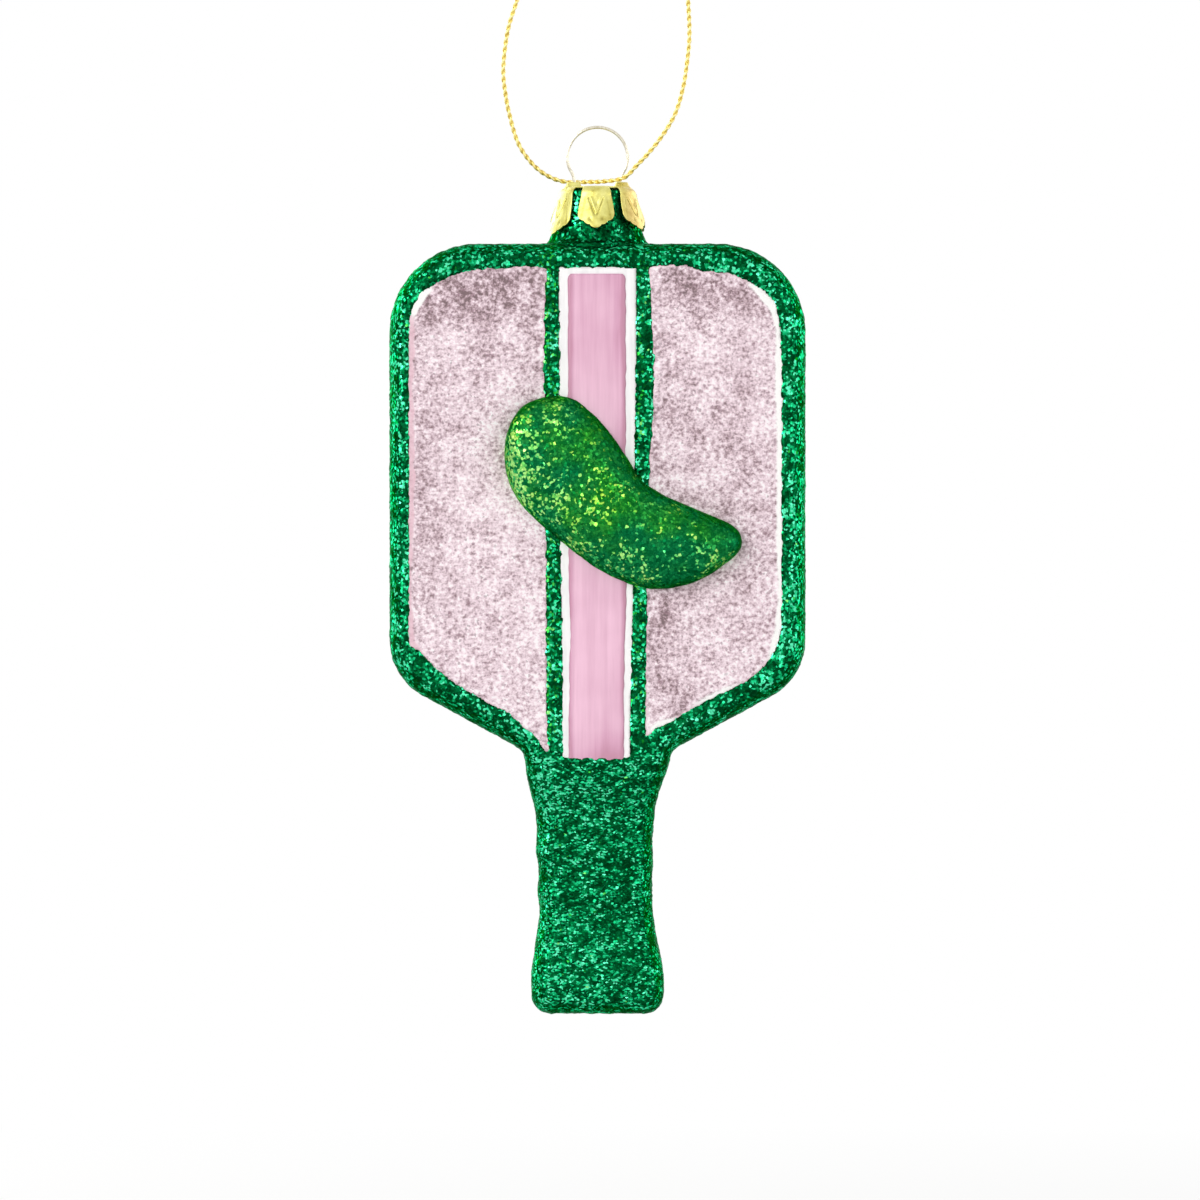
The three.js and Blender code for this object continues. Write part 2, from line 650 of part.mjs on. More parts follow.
/** One leaf as a thin closed sheet, from under the cap's disc down to its lobes. */
function capLeaf() {
  const positions = [];
  const triangles = [];
  const straightTop = CAP_TOP - CAP_SHOULDER_RADIUS;
  const notchHeight = CAP_TOP - LEAF_TIP_DROP + MIDDLE_LOBE_DROP;
  const point = (across, down, depth) => {
    const narrowed = Math.min(1, down / LEAF_SLOT_TAPER_SHARE);
    const slot = THREE.MathUtils.lerp(LEAF_SLOT_TOP, LEAF_SLOT_MIDDLE, narrowed);
    let radius;
    let height;
    if (down <= LEAF_BEND_SHARE) {
      const bent = down / LEAF_BEND_SHARE;
      const angle = (Math.PI / 2) * bent - LEAF_ROOT_TUCK * (1 - bent);
      const bend = CAP_SHOULDER_RADIUS - depth;
      radius = CAP_RADIUS - CAP_SHOULDER_RADIUS + bend * Math.sin(angle);
      height = straightTop + bend * Math.cos(angle);
    } else {
      const share = (down - LEAF_BEND_SHARE) / (1 - LEAF_BEND_SHARE);
      const lower = notchHeight - lobeDrop(across);
      height = THREE.MathUtils.lerp(straightTop, lower, share);
      const fall = (straightTop - height) / (straightTop - notchHeight);
      const flare = LEAF_FLARE * fall ** LEAF_FLARE_POWER;
      radius = CAP_RADIUS - depth + flare + leafRelief(across, down);
    }
    const halfAngle = Math.PI / LEAF_COUNT - Math.asin(slot / 2 / CAP_RADIUS);
    const turn = across * halfAngle;
    return [radius * Math.sin(turn), -radius * Math.cos(turn), height];
  };
  const columns = leafColumns();
  for (const depth of [0, CAP_SHEET]) {
    for (let row = 0; row <= LEAF_ROWS; row += 1) {
      for (const across of columns) {
        positions.push(...point(across, row / LEAF_ROWS, depth));
      }
    }
  }
  const wide = columns.length;
  const inner = wide * (LEAF_ROWS + 1);
  const quad = (a, b, c, d) => triangles.push(a, b, c, a, c, d);
  for (let row = 0; row < LEAF_ROWS; row += 1) {
    for (let column = 0; column + 1 < wide; column += 1) {
      const a = row * wide + column;
      quad(a, a + wide, a + wide + 1, a + 1);
      quad(inner + a, inner + a + 1, inner + a + wide + 1, inner + a + wide);
    }
    const left = row * wide;
    const right = left + wide - 1;
    quad(left, inner + left, inner + left + wide, left + wide);
    quad(right, right + wide, inner + right + wide, inner + right);
  }
  for (let column = 0; column + 1 < wide; column += 1) {
    const bottom = LEAF_ROWS * wide + column;
    quad(column, column + 1, inner + column + 1, inner + column);
    quad(bottom, inner + bottom, inner + bottom + 1, bottom + 1);
  }
  return solidOfArrays(positions, triangles);
}

/** Long hole round a leg of the hanger, widened by a margin. */
function legHole(margin, bottom, top) {
  const halfWidth = WIRE_DIAMETER / 2 + LEG_CLEARANCE + margin;
  const reach = LEG_SPREAD + HOLE_END_CLEARANCE;
  const shape = new THREE.Shape();
  shape.absarc(LEG_SPACING / 2, 0, halfWidth, Math.PI / 2, (3 * Math.PI) / 2, false);
  shape.absarc(LEG_SPACING / 2 + reach, 0, halfWidth, -Math.PI / 2, Math.PI / 2, false);
  shape.closePath();
  const geometry = new THREE.ExtrudeGeometry(shape, {
    depth: top - bottom,
    bevelEnabled: false,
    curveSegments: HOLE_SEGMENTS,
  });
  geometry.translate(0, 0, bottom);
  return solidOf(geometry);
}

/** Whole cap: disc, leaves, and a raised guide round each hole for the wire. */
function crownCap() {
  const discRadius = CAP_RADIUS - CAP_SHOULDER_RADIUS + DISC_OVERLAP;
  let cap = turned([
    [0, CAP_UNDERSIDE],
    [discRadius, CAP_UNDERSIDE],
    [discRadius, CAP_TOP],
    [0, CAP_TOP],
  ]);
  const leaf = capLeaf();
  for (let index = 0; index < LEAF_COUNT; index += 1) {
    cap = cap.add(leaf.rotate([0, 0, (360 / LEAF_COUNT) * index]));
  }
  const guide = legHole(GUIDE_WALL, CAP_UNDERSIDE, GUIDE_TOP);
  const hole = legHole(0, CAP_UNDERSIDE - 1, GUIDE_TOP + 1);
  return cap
    .add(guide)
    .add(onLeft(guide))
    .subtract(hole)
    .subtract(onLeft(hole));
}

// Wire hanger: one spring wire bent to a ring with two legs inside the neck

/** Path of the wire, from the end of the left leg round the ring to the right leg. */
function wireRoute() {
  const half = LEG_SPACING / 2;
  const legEnd = CAP_UNDERSIDE - LEG_LENGTH;
  const leg = LEG_SHAPE.map(([spread, share]) => (
    [half + LEG_SPREAD * spread, legEnd + LEG_LENGTH * share]
  ));
  leg.push([half, GUIDE_TOP - LEG_BEND_DEPTH]);
  const start = Math.asin(half / RING_RADIUS) + RING_SHOULDER_ANGLE;
  const ring = [];
  for (let index = 0; index <= RING_POINTS; index += 1) {
    const angle = start + ((2 * Math.PI - 2 * start) * index) / RING_POINTS;
    ring.push([-RING_RADIUS * Math.sin(angle), RING_CENTRE - RING_RADIUS * Math.cos(angle)]);
  }
  const left = leg.map(([x, z]) => [-x, z]);
  const right = [...leg].reverse();
  const points = [...left, ...ring, ...right].map(([x, z]) => new THREE.Vector3(x, 0, z));
  return new THREE.CatmullRomCurve3(points, false, 'centripetal');
}

// Cord and knot

/** Knot of the two strands with its two cut tails. */
function cordKnot() {
  const lump = new THREE.SphereGeometry(KNOT_WIDTH / 2, KNOT_SIDES, KNOT_ROWS);
  lump.rotateX(Math.PI / 2);
  lump.scale(1, 1, KNOT_HEIGHT / KNOT_WIDTH);
  const centre = HANGING_HEIGHT + KNOT_HEIGHT / 2;
  const top = HANGING_HEIGHT + KNOT_HEIGHT;
  lump.translate(0, 0, centre);
  let knot = solidOf(lump);
  for (const side of [-1, 1]) {
    const tail = new THREE.CatmullRomCurve3([
      new THREE.Vector3(side * TAIL_ROOT_SPREAD, 0, centre),
      new THREE.Vector3(side * TAIL_EXIT_SPREAD, 0, top),
      new THREE.Vector3(side * TAIL_SPREAD, side * TAIL_TWIST, top + TAIL_LENGTH),
    ]);
    knot = knot.add(solidOf(tube(tail, CORD_DIAMETER, CORD_SIDES, TAIL_STEPS)));
  }
  return knot;
}

// Assembly

const ornament = new THREE.Group();

/** Adds a named piece with its own material to the ornament. */
function addPiece(name, geometry, finish) {
  const mesh = new THREE.Mesh(geometry, new THREE.MeshStandardMaterial(finish));
  mesh.name = name;
  ornament.add(mesh);
}

const panel = frontPanel();
const band = enamelBand();
const stripe = satinStripe();
const cordPoints = CORD_ROUTE.map((point) => new THREE.Vector3(...point));
const cordPath = new THREE.CatmullRomCurve3(cordPoints);

addPiece('glass_body', geometryOf(glassBody()), CLEAR_GLASS);
addPiece('green_glitter_coat', geometryOf(greenCoat()), GREEN_GLITTER);
addPiece('pickle_glitter_coat', geometryOf(pickleCoat()), PICKLE_GLITTER);
addPiece('front_left_panel', geometryOf(onLeft(panel).subtract(pickle(LAYER_GAP))), PINK_GLITTER);
addPiece('front_right_panel', geometryOf(panel.subtract(pickle(LAYER_GAP))), PINK_GLITTER);
addPiece('front_upper_band', geometryOf(partedByPickle(band, true)), WHITE_ENAMEL);
addPiece('front_lower_band', geometryOf(partedByPickle(band, false)), WHITE_ENAMEL);
addPiece('front_upper_stripe', geometryOf(partedByPickle(stripe, true)), PINK_SATIN);
addPiece('front_lower_stripe', geometryOf(partedByPickle(stripe, false)), PINK_SATIN);
addPiece('back_left_panel', geometryOf(onBack(panel)), PINK_GLITTER);
addPiece('back_right_panel', geometryOf(onBack(onLeft(panel))), PINK_GLITTER);
addPiece('back_band', geometryOf(onBack(band)), WHITE_ENAMEL);
addPiece('back_stripe', geometryOf(onBack(stripe)), PINK_SATIN);
addPiece('crown_cap', geometryOf(crownCap()), PALE_GOLD);
addPiece('wire_hanger', tube(wireRoute(), WIRE_DIAMETER, WIRE_SIDES, WIRE_STEPS), SPRING_WIRE);
addPiece('hanging_cord', tube(cordPath, CORD_DIAMETER, CORD_SIDES, CORD_STEPS), GOLD_CORD);
addPiece('cord_knot', geometryOf(cordKnot()), GOLD_CORD);

ornament.position.z = -HANGING_HEIGHT;

export default ornament;
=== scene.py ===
# %% [markdown]
# # A blown-glass pickleball paddle ornament
# The ornament is a mould-blown glass paddle about 58 mm wide. It is painted and rolled in
# glitter, closed with a pressed foil crown cap, and hung on a gold cord. This lesson dresses
# the fixed model of it: every surface that shows is made here from a formula, in the same
# place as the solid that it stands for, and gets a finish made of nodes.

# %% The fixed model
import math

import bpy
import numpy as np
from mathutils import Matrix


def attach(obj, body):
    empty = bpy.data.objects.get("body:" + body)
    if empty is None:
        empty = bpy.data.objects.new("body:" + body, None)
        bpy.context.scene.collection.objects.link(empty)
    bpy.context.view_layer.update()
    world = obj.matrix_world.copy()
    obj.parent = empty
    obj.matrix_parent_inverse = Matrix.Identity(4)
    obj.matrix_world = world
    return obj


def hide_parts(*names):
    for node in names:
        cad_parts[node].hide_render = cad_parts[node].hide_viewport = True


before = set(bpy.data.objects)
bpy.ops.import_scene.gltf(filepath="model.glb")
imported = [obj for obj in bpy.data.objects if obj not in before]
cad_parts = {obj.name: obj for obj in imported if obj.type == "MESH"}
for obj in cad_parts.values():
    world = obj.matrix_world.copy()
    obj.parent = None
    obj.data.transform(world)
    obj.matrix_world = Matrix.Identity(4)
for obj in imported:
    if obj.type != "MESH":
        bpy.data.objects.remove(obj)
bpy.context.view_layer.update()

# %% [markdown]
# ## Units
# The maker's sizes are in millimetres, with heights counted up from the end of the handle.
# Blender's are in metres from the hanging point under the knot, 182.6 mm above that end. One
# function turns points of the first kind into the second, and another does so for a height
# alone, so every shape below can use the maker's numbers.

# %% From the maker's millimetres to metres
HANGING_HEIGHT = 182.6


def place(points):
    """Metres in the frame: (x, y, height) in mm becomes (x, y, height - 182.6) / 1000."""
    return (np.asarray(points) - (0, 0, HANGING_HEIGHT)) / 1000


def level_of(height):
    """The z in metres of a height in mm."""
    return (height - HANGING_HEIGHT) / 1000


# %% [markdown]
# ## The camera
# The photograph looks straight at the face: both edges of the paddle show alike and the
# handle's end is a level line. The frame of 1200 by 1200 pixels spans 169.2 mm at the
# paddle's middle plane. A long lens from one metre keeps the face and the outline in scale.

# %% Camera
FRAME_WIDTH = 0.1692
FRAME_CENTRE = (0.00035, 0.0, -0.1245)
CAMERA_DISTANCE = 1.0

camera_data = bpy.data.cameras.new("photograph_camera")
camera_data.sensor_width = 36
camera_data.lens = camera_data.sensor_width * CAMERA_DISTANCE / FRAME_WIDTH
camera_data.clip_start = 0.01
camera_data.clip_end = 20
camera = bpy.data.objects.new("photograph_camera", camera_data)
camera.location = (FRAME_CENTRE[0], -CAMERA_DISTANCE, FRAME_CENTRE[2])
camera.rotation_euler = (math.pi / 2, 0, 0)
bpy.context.scene.collection.objects.link(camera)
bpy.context.scene.camera = camera
print("lens", round(camera_data.lens, 1), "mm")

# %% [markdown]
# ## Meshes from arrays
# Each surface here is a grid: a table of points with rows and columns. Neighbours in the
# table make the four-sided faces, and where the surface meets itself, as round a tube, the
# last column joins the first. A body is a table of points in mm with one or more arrays of
# faces. One helper checks which way the faces look through the volume: a closed surface with
# its faces outward has a positive one.

# %% Faces of a grid
def grid_quads(rows, columns, close_rows=False, close_columns=False):
    """Faces of a grid whose vertex (r, c) has the number r * columns + c."""
    row = np.arange(rows if close_rows else rows - 1)
    column = np.arange(columns if close_columns else columns - 1)
    row, column = np.meshgrid(row, column, indexing="ij")
    next_row, next_column = (row + 1) % rows, (column + 1) % columns
    corners = [
        row * columns + column,
        row * columns + next_column,
        next_row * columns + next_column,
        next_row * columns + column,
    ]
    return np.stack(corners, axis=-1).reshape(-1, 4)


def fan(ring, pole):
    """Triangles from each edge of a closed ring of vertex numbers to one pole."""
    return np.stack([ring, np.roll(ring, -1), np.full(len(ring), pole)], axis=-1)


# %% Faces outward, and closed tubes
def faces_outward(points, quads, *others):
    """Body whose faces look out: all are turned over when the quads' volume is negative.

    The volume is the sum over quads of a . (b x c + c x d) / 6 for the corners a, b, c, d.
    """
    a, b, c, d = (points[quads[:, k]] for k in range(4))
    volume = np.einsum("ij,ij->", a, np.cross(b, c) + np.cross(c, d)) / 6
    order = 1 if volume >= 0 else -1
    return points, *(faces[:, ::order] for faces in (quads, *others))


def full_turn(count):
    """Even angles once round."""
    return np.linspace(0, 2 * np.pi, count, endpoint=False)


def closed_loops(rings):
    """Body of a table of rings whose last ring joins the first, as on a washer."""
    quads = grid_quads(*rings.shape[:2], close_rows=True, close_columns=True)
    return faces_outward(rings.reshape(-1, 3), quads)


def closed_tube(rings):
    """Body of a table of rings (row, side, xyz): the rings joined, with a pole at each end."""
    rows, sides = rings.shape[:2]
    poles = rings[[0, -1]].mean(axis=1)
    points = np.concatenate([rings.reshape(-1, 3), poles])
    quads = grid_quads(rows, sides, close_columns=True)
    last = np.arange(sides) + (rows - 1) * sides
    ends = np.concatenate([fan(np.arange(sides)[::-1], rows * sides), fan(last, rows * sides + 1)])
    return faces_outward(points, quads, ends)


# %% A piece from one or more bodies
def new_piece(name, shapes, body, replaced):
    """Smooth object at the origin, made of shapes (points in mm, faces, ...), on a moving body."""
    points, polygons = np.zeros((0, 3)), []
    for shape_points, *face_arrays in shapes:
        for faces in face_arrays:
            polygons += (faces + len(points)).tolist()
        points = np.concatenate([points, shape_points])
    mesh = bpy.data.meshes.new(name)
    mesh.from_pydata(place(points), [], polygons)
    mesh.polygons.foreach_set("use_smooth", np.full(len(polygons), True))
    mesh.update()
    piece = bpy.data.objects.new(name, mesh)
    bpy.context.scene.collection.objects.link(piece)
    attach(piece, body)
    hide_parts(*replaced)
    print(name, len(mesh.vertices), "vertices,", len(mesh.polygons), "faces")
    return piece


# %% [markdown]
# ## The cord
# The cord is two plies of gold lurex yarn, 0.65 mm thick, twisted together with one turn in
# about 2 mm. It leaves the knot, runs down the left, passes over the cap through the wire
# ring and goes back up. A smooth curve through the route's points gives its middle line, and
# a section with two lobes that turns on its way up the line gives the twist.

# %% Route of the cord
CORD_DIAMETER = 0.65
PLY_TURN = 2.1
CORD_STEP = 0.16
STRAND_X = 0.42
CORD_ROUTE = np.array([
    (-STRAND_X, 0, 182.3), (-0.8, 0, 179.5), (-2.0, 0.1, 174.5), (-3.6, 0.2, 168.5),
    (-5.4, 0.3, 162.0), (-7.3, 0.4, 155.5), (-9.3, 0.5, 149.0), (-11.35, 0.6, 142.7),
    (-12.6, 0.8, 138.7), (-13.3, 1.0, 132.8), (-13.0, 1.2, 129.6), (-12.4, 1.4, 126.5),
    (-11.0, 1.5, 122.2), (-8.6, 1.6, 119.1), (-6.2, 1.6, 117.6), (-4.1, 1.5, 117.1),
    (-1.6, 0.7, 117.1), (0.9, -0.5, 117.1), (3.8, -1.5, 117.6), (5.45, -1.6, 119.2),
    (7.25, -1.6, 121.1), (9.2, -1.5, 123.6), (10.9, -1.4, 126.5), (12.0, -1.2, 130.0),
    (12.6, -1.0, 133.7), (12.95, -0.8, 137.6), (12.75, -0.6, 142.7), (12.3, -0.5, 148.5),
    (11.4, -0.4, 154.5), (9.8, -0.3, 160.5), (7.5, -0.2, 166.5), (4.8, -0.1, 172.3),
    (2.2, 0, 177.4), (0.75, 0, 180.6), (STRAND_X, 0, 182.3),
])


def smooth_line(knots, spacing):
    """Even points along a smooth curve through the knots.

    Between knots b and c, with a before and d after, each coordinate is the cubic that has
    the values b and c there. Its slopes are those of the parabolas through a, b, c and
    through b, c, d, where the parameter grows by the square root of each distance.
    """
    ahead, behind = 2 * knots[0] - knots[1], 2 * knots[-1] - knots[-2]
    a, b, c, d = (np.vstack([ahead, knots, behind])[k:k + len(knots) - 1] for k in range(4))
    gaps = [np.linalg.norm(q - p, axis=1)[:, None] ** 0.5 for p, q in ((a, b), (b, c), (c, d))]
    before, own, after = gaps
    leave = ((b - a) / before - (c - a) / (before + own) + (c - b) / own) * own
    arrive = ((c - b) / own - (d - b) / (own + after) + (d - c) / after) * own
    t = np.linspace(0, 1, 40, endpoint=False)[None, :, None]
    b, c, leave, arrive = (value[:, None, :] for value in (b, c, leave, arrive))
    curve = ((2 * t**3 - 3 * t**2 + 1) * b + (t**3 - 2 * t**2 + t) * leave
             + (3 * t**2 - 2 * t**3) * c + (t**3 - t**2) * arrive)
    curve = np.vstack([curve.reshape(-1, knots.shape[1]), knots[-1:]])
    return even_steps(curve, spacing)


def reach_along(line):
    """Length of the line from its start to each point."""
    return np.concatenate([[0], np.cumsum(np.linalg.norm(np.diff(line, axis=0), axis=1))])


def even_steps(line, spacing):
    """The same line with its points an even distance apart, close to the spacing."""
    reach = reach_along(line)
    wanted = np.linspace(0, reach[-1], max(2, round(reach[-1] / spacing) + 1))
    return np.stack([np.interp(wanted, reach, column) for column in line.T], axis=-1)


cord_line = smooth_line(CORD_ROUTE, CORD_STEP)


# %% Two twisted plies along a line
def tube_frame(line):
    """Two unit vectors across a line at each point, kept from turning by one far direction."""
    along = np.gradient(line, axis=0)
    along /= np.linalg.norm(along, axis=1)[:, None]
    across = np.cross(along, np.array([0.03, 1.0, 0.05]))
    across /= np.linalg.norm(across, axis=1)[:, None]
    return across, np.cross(along, across)


def rings_along(line, radius):
    """Rings round a line: radius x (across cos(angle) + up sin(angle)) at each of its points."""
    across, up = tube_frame(line)
    angle = full_turn(radius.shape[1])[None, :, None]
    offset = np.cos(angle) * across[:, None] + np.sin(angle) * up[:, None]
    return line[:, None] + radius[..., None] * offset


def twisted_plies(line, diameter, sides=18, phase=0.0):
    """Rings of a cord and their lobes: the radius is r (0.79 + 0.21 cos 2(angle - twist)).

    The twist grows by a full turn in each length of PLY_TURN, so the two lobes of the
    section wind round the line as two plies do.
    """
    twist = (2 * np.pi * reach_along(line) / PLY_TURN + phase)[:, None]
    lobe = np.cos(2 * (full_turn(sides)[None, :] - twist))
    return rings_along(line, diameter / 2 * (0.79 + 0.21 * lobe)), lobe


# Only the crests of the plies reach the radius, so the cord is drawn 4 % thicker.
cord_rings, cord_lobe = twisted_plies(cord_line, CORD_DIAMETER * 1.04)
cord = new_piece("gold_cord", [closed_tube(cord_rings)], "cord", ["hanging_cord"])

# %% [markdown]
# ## The knot
# The two ends of the cord are closed with a barrel knot: one end winds about three and a
# half times round both strands, and two short tails stick out above it. A helix makes the
# winding and two short curves the tails, all with the cord's own section. Inside the
# winding the two strands run straight up.

# %% Knot and tails
KNOT_HEIGHT = 3.0
KNOT_RADIUS = 1.2
TAIL_LENGTH = 4.6
TAIL_SPREAD = 1.9
WINDINGS = 3.6

winding = np.linspace(0, 1, 160)
winding_radius = KNOT_RADIUS - CORD_DIAMETER / 2 - 0.12 * (2 * winding - 1) ** 2
winding_angle = 2 * np.pi * WINDINGS * winding
winding_line = np.stack([
    winding_radius * np.cos(winding_angle),
    winding_radius * np.sin(winding_angle),
    HANGING_HEIGHT + 0.4 + (KNOT_HEIGHT - 0.8) * winding,
], axis=-1)
knot_top = HANGING_HEIGHT + KNOT_HEIGHT
right_tail = np.array([
    (STRAND_X, 0, HANGING_HEIGHT - 0.3), (0.36, 0, HANGING_HEIGHT + 1.5), (0.5, 0.05, knot_top),
    (1.15, 0.2, knot_top + 2.2), (TAIL_SPREAD, 0.4, knot_top + TAIL_LENGTH)])
knot_lines = [even_steps(winding_line, CORD_STEP)]
knot_lines += [smooth_line(right_tail * (side, side, 1), CORD_STEP) for side in (-1, 1)]
knot_tubes = [twisted_plies(line, CORD_DIAMETER, phase=k) for k, line in enumerate(knot_lines)]
knot = new_piece("cord_knot_and_tails", [closed_tube(rings) for rings, _ in knot_tubes],
                 "cord", ["cord_knot"])

# %% [markdown]
# ## The spring wire
# The hanger is one piece of thin spring wire: a ring with two legs that press outward
# inside the neck. It is a tube of one radius along one line: up a leg, round and down again.

# %% Wire ring with its legs
WIRE_DIAMETER = 0.45
WIRE_STEP = 0.14
WIRE_SIDES = 16
RING_RADIUS = 4.25
RING_CENTRE = 120.497
CAP_UNDERSIDE = 115.9
LEG_HALF_SPACING = 3.2
LEG_LENGTH = 13
LEG_SPREAD = 0.25
CURL = 0.12     # radians past the legs where the round part of the ring starts

ring_start = math.asin(LEG_HALF_SPACING / RING_RADIUS) + CURL
ring_angle = np.linspace(ring_start, 2 * np.pi - ring_start, 17)
leg_spread = LEG_SPREAD * np.array([1, 0.75, 0.3, 0, 0])
leg_height = np.append(-LEG_LENGTH * np.array([1, 0.55, 0.2, 0]), 0.9)
leg = np.stack([LEG_HALF_SPACING + leg_spread, CAP_UNDERSIDE + leg_height], axis=-1)
ring_part = np.stack([-RING_RADIUS * np.sin(ring_angle),
                      RING_CENTRE - RING_RADIUS * np.cos(ring_angle)], axis=-1)
wire_knots = np.vstack([leg * (-1, 1), ring_part, leg[::-1]])
wire_line = smooth_line(np.insert(wire_knots, 1, 0, axis=1), WIRE_STEP)
wire_radius = np.full((len(wire_line), WIRE_SIDES), WIRE_DIAMETER / 2)
wire = new_piece("spring_wire_ring", [closed_tube(rings_along(wire_line, wire_radius))],
                 "hanger", ["wire_hanger"])

# %% [markdown]
# ## The crown cap
# The cap is pressed from thin foil: a disc with six leaves bent down over the neck by a soft
# round shoulder. Each leaf has scalloped lobes and a pressed palmette. A leaf is a grid with
# one parameter across and one down it, and the press work is a height added to its radius.
# The outer and the inner side are two such grids joined round their border. The disc is
# domed by only a quarter of a millimetre, so that it clears the cord when the cap swings.

# %% Shape of a leaf
CAP_SHEET = 0.3
LEAF_SHEET = 0.2
CAP_RADIUS = 5.6
CAP_TOP = CAP_UNDERSIDE + CAP_SHEET
SHOULDER = 1.3
BEND_SHARE = 0.3
NOTCH_DROP = 5.42
SKIRT_FLARE = 1.45
SLOT_TOP = 1.75
SLOT_FOOT = 1.25
LOBE_SPLIT = 0.27
LEAF_COUNT = 6


def ease(value, start, end):
    """Smooth step from 0 to 1: 3 t^2 - 2 t^3 with t from start to end."""
    t = np.clip((value - start) / (end - start), 0, 1)
    return t * t * (3 - 2 * t)


def ridge(distance, width):
    """Soft ridge: exp(-(distance / width)^2)."""
    return np.exp(-(distance / width) ** 2)


def lobe_drop(across):
    """Drop of the lower edge in mm: one middle lobe and two side lobes with cut corners."""
    distance = np.abs(across)
    middle = 0.5 * np.cos(np.pi / 2 * np.clip(distance / LOBE_SPLIT, 0, 1)) ** 0.5
    share = np.clip((distance - LOBE_SPLIT) / (1 - LOBE_SPLIT), 0, 1)
    ripple = 0.2 * np.abs(np.sin(2 * np.pi * share)) ** 0.7
    return np.where(distance <= LOBE_SPLIT, middle, ripple - 1.15 * share - 0.4 * share ** 8)


def palmette(across, down):
    """Press work in mm: a V of two grooves beside ridges, two side lines and three dots."""
    fade = ease(down, 0.24, 0.4) * (1 - 0.5 * ease(down, 0.9, 1.0))
    groove_place = 0.05 + 0.48 * np.clip((0.72 - down) / 0.4, 0, 1)
    inside_v = ease(down, 0.3, 0.4) * (1 - ease(down, 0.68, 0.78))
    off_groove = np.abs(across) - groove_place
    vee = 0.9 * ridge(off_groove + 0.14, 0.09) - 1.1 * ridge(off_groove, 0.06)
    side_line = ridge(np.abs(across) - 0.66 - 0.2 * (down - 0.35), 0.05) * ease(down, 0.3, 0.4)
    dots = sum(ridge(np.hypot(across - x, (down - y) * 2.2), 0.09)
               for x, y in ((0.06, 0.5), (-0.3, 0.86), (0.34, 0.86)))
    return fade * (0.12 * vee * inside_v - 0.05 * side_line - 0.08 * dots)


def leaf_side(across, down, depth):
    """Points of a leaf, depth mm under its outer side: a quarter bend and a flared skirt.

    On the bend the radius grows with sin(angle) and the height falls with cos(angle). Below
    it the height falls evenly and the radius grows with the fall to the power of 1.1.
    """
    slot = SLOT_TOP + (SLOT_FOOT - SLOT_TOP) * np.clip(down * 1.5, 0, 1)
    bent = np.clip(down / BEND_SHARE, 0, 1)
    angle = np.pi / 2 * bent - 0.35 * (1 - bent)
    share = np.clip((down - BEND_SHARE) / (1 - BEND_SHARE), 0, 1)
    bend = SHOULDER - depth
    lower = CAP_TOP - NOTCH_DROP - lobe_drop(across)
    skirt = share > 0
    fall = share * (CAP_TOP - SHOULDER - lower)
    flare = SKIRT_FLARE * (fall / (NOTCH_DROP - SHOULDER)) ** 1.1
    radius = CAP_RADIUS - SHOULDER + bend * np.sin(angle) + flare + palmette(across, down) * skirt
    height = CAP_TOP - SHOULDER + bend * np.cos(angle) * ~skirt - fall
    turn = across * (np.pi / LEAF_COUNT - np.arcsin(slot / 2 / CAP_RADIUS))
    return np.stack([radius * np.sin(turn), -radius * np.cos(turn), height], axis=-1)


# %% Six leaves
LEAF_GRID = np.meshgrid(np.linspace(-1, 1, 48), np.linspace(0, 1, 56))
LEAF_EXTRA = (0.05, 0.1, 0.1, 0.0, 0.05, 0.75)  # mm that each foot hangs lower
PRESS_TURN = -2.0                               # degrees that the whole cap stands turned


def leaf_body(extra, seed):
    """Closed sheet of a leaf: its outer grid, its inner grid and a seam round the border."""
    across, down = LEAF_GRID
    rows, columns = across.shape
    wave = np.random.default_rng(seed).normal(0, 0.06, 3)
    outer = leaf_side(across, down, 0)
    inner = leaf_side(across, down, LEAF_SHEET)
    bow = down ** 2 * (wave[0] + wave[1] * across + wave[2] * across ** 2)
    for side in (outer, inner):
        side[..., 1] -= bow
        side[..., 2] -= extra * down ** 2
    points = np.concatenate([outer.reshape(-1, 3), inner.reshape(-1, 3)])
    quads = grid_quads(rows, columns)
    number = np.arange(rows * columns).reshape(rows, columns)
    border = np.concatenate([number[0, :-1], number[:-1, -1], number[-1, :0:-1], number[:0:-1, 0]])
    inside = border + rows * columns
    seam = np.stack([border, inside, np.roll(inside, -1), np.roll(border, -1)], axis=-1)
    return faces_outward(points, np.concatenate([quads, quads[:, ::-1] + rows * columns, seam]))


def turned_about_z(points, degrees):
    """Points turned about the vertical axis."""
    a = math.radians(degrees)
    turn = np.array([(math.cos(a), math.sin(a), 0), (-math.sin(a), math.cos(a), 0), (0, 0, 1)])
    return points @ turn


leaves = []
for index, extra in enumerate(LEAF_EXTRA):
    points, faces = leaf_body(extra, seed=index)
    leaves.append((turned_about_z(points, 360 / LEAF_COUNT * index + PRESS_TURN), faces))
print(len(leaves), "leaves of", len(points), "points")


# %% Disc and the two guides round the wire
def revolved(profile, sides=96):
    """Body of a profile (radius, height) carried round the vertical axis, poles at its ends."""
    angle = full_turn(sides)
    radius, height = profile[:, :1], profile[:, 1:]
    rings = np.stack([radius * np.cos(angle), radius * np.sin(angle), height + 0 * angle], -1)
    return closed_tube(rings)


DISC_RADIUS = 4.5
DISC_ROUND = 0.1
POLE_RADIUS = 0.02

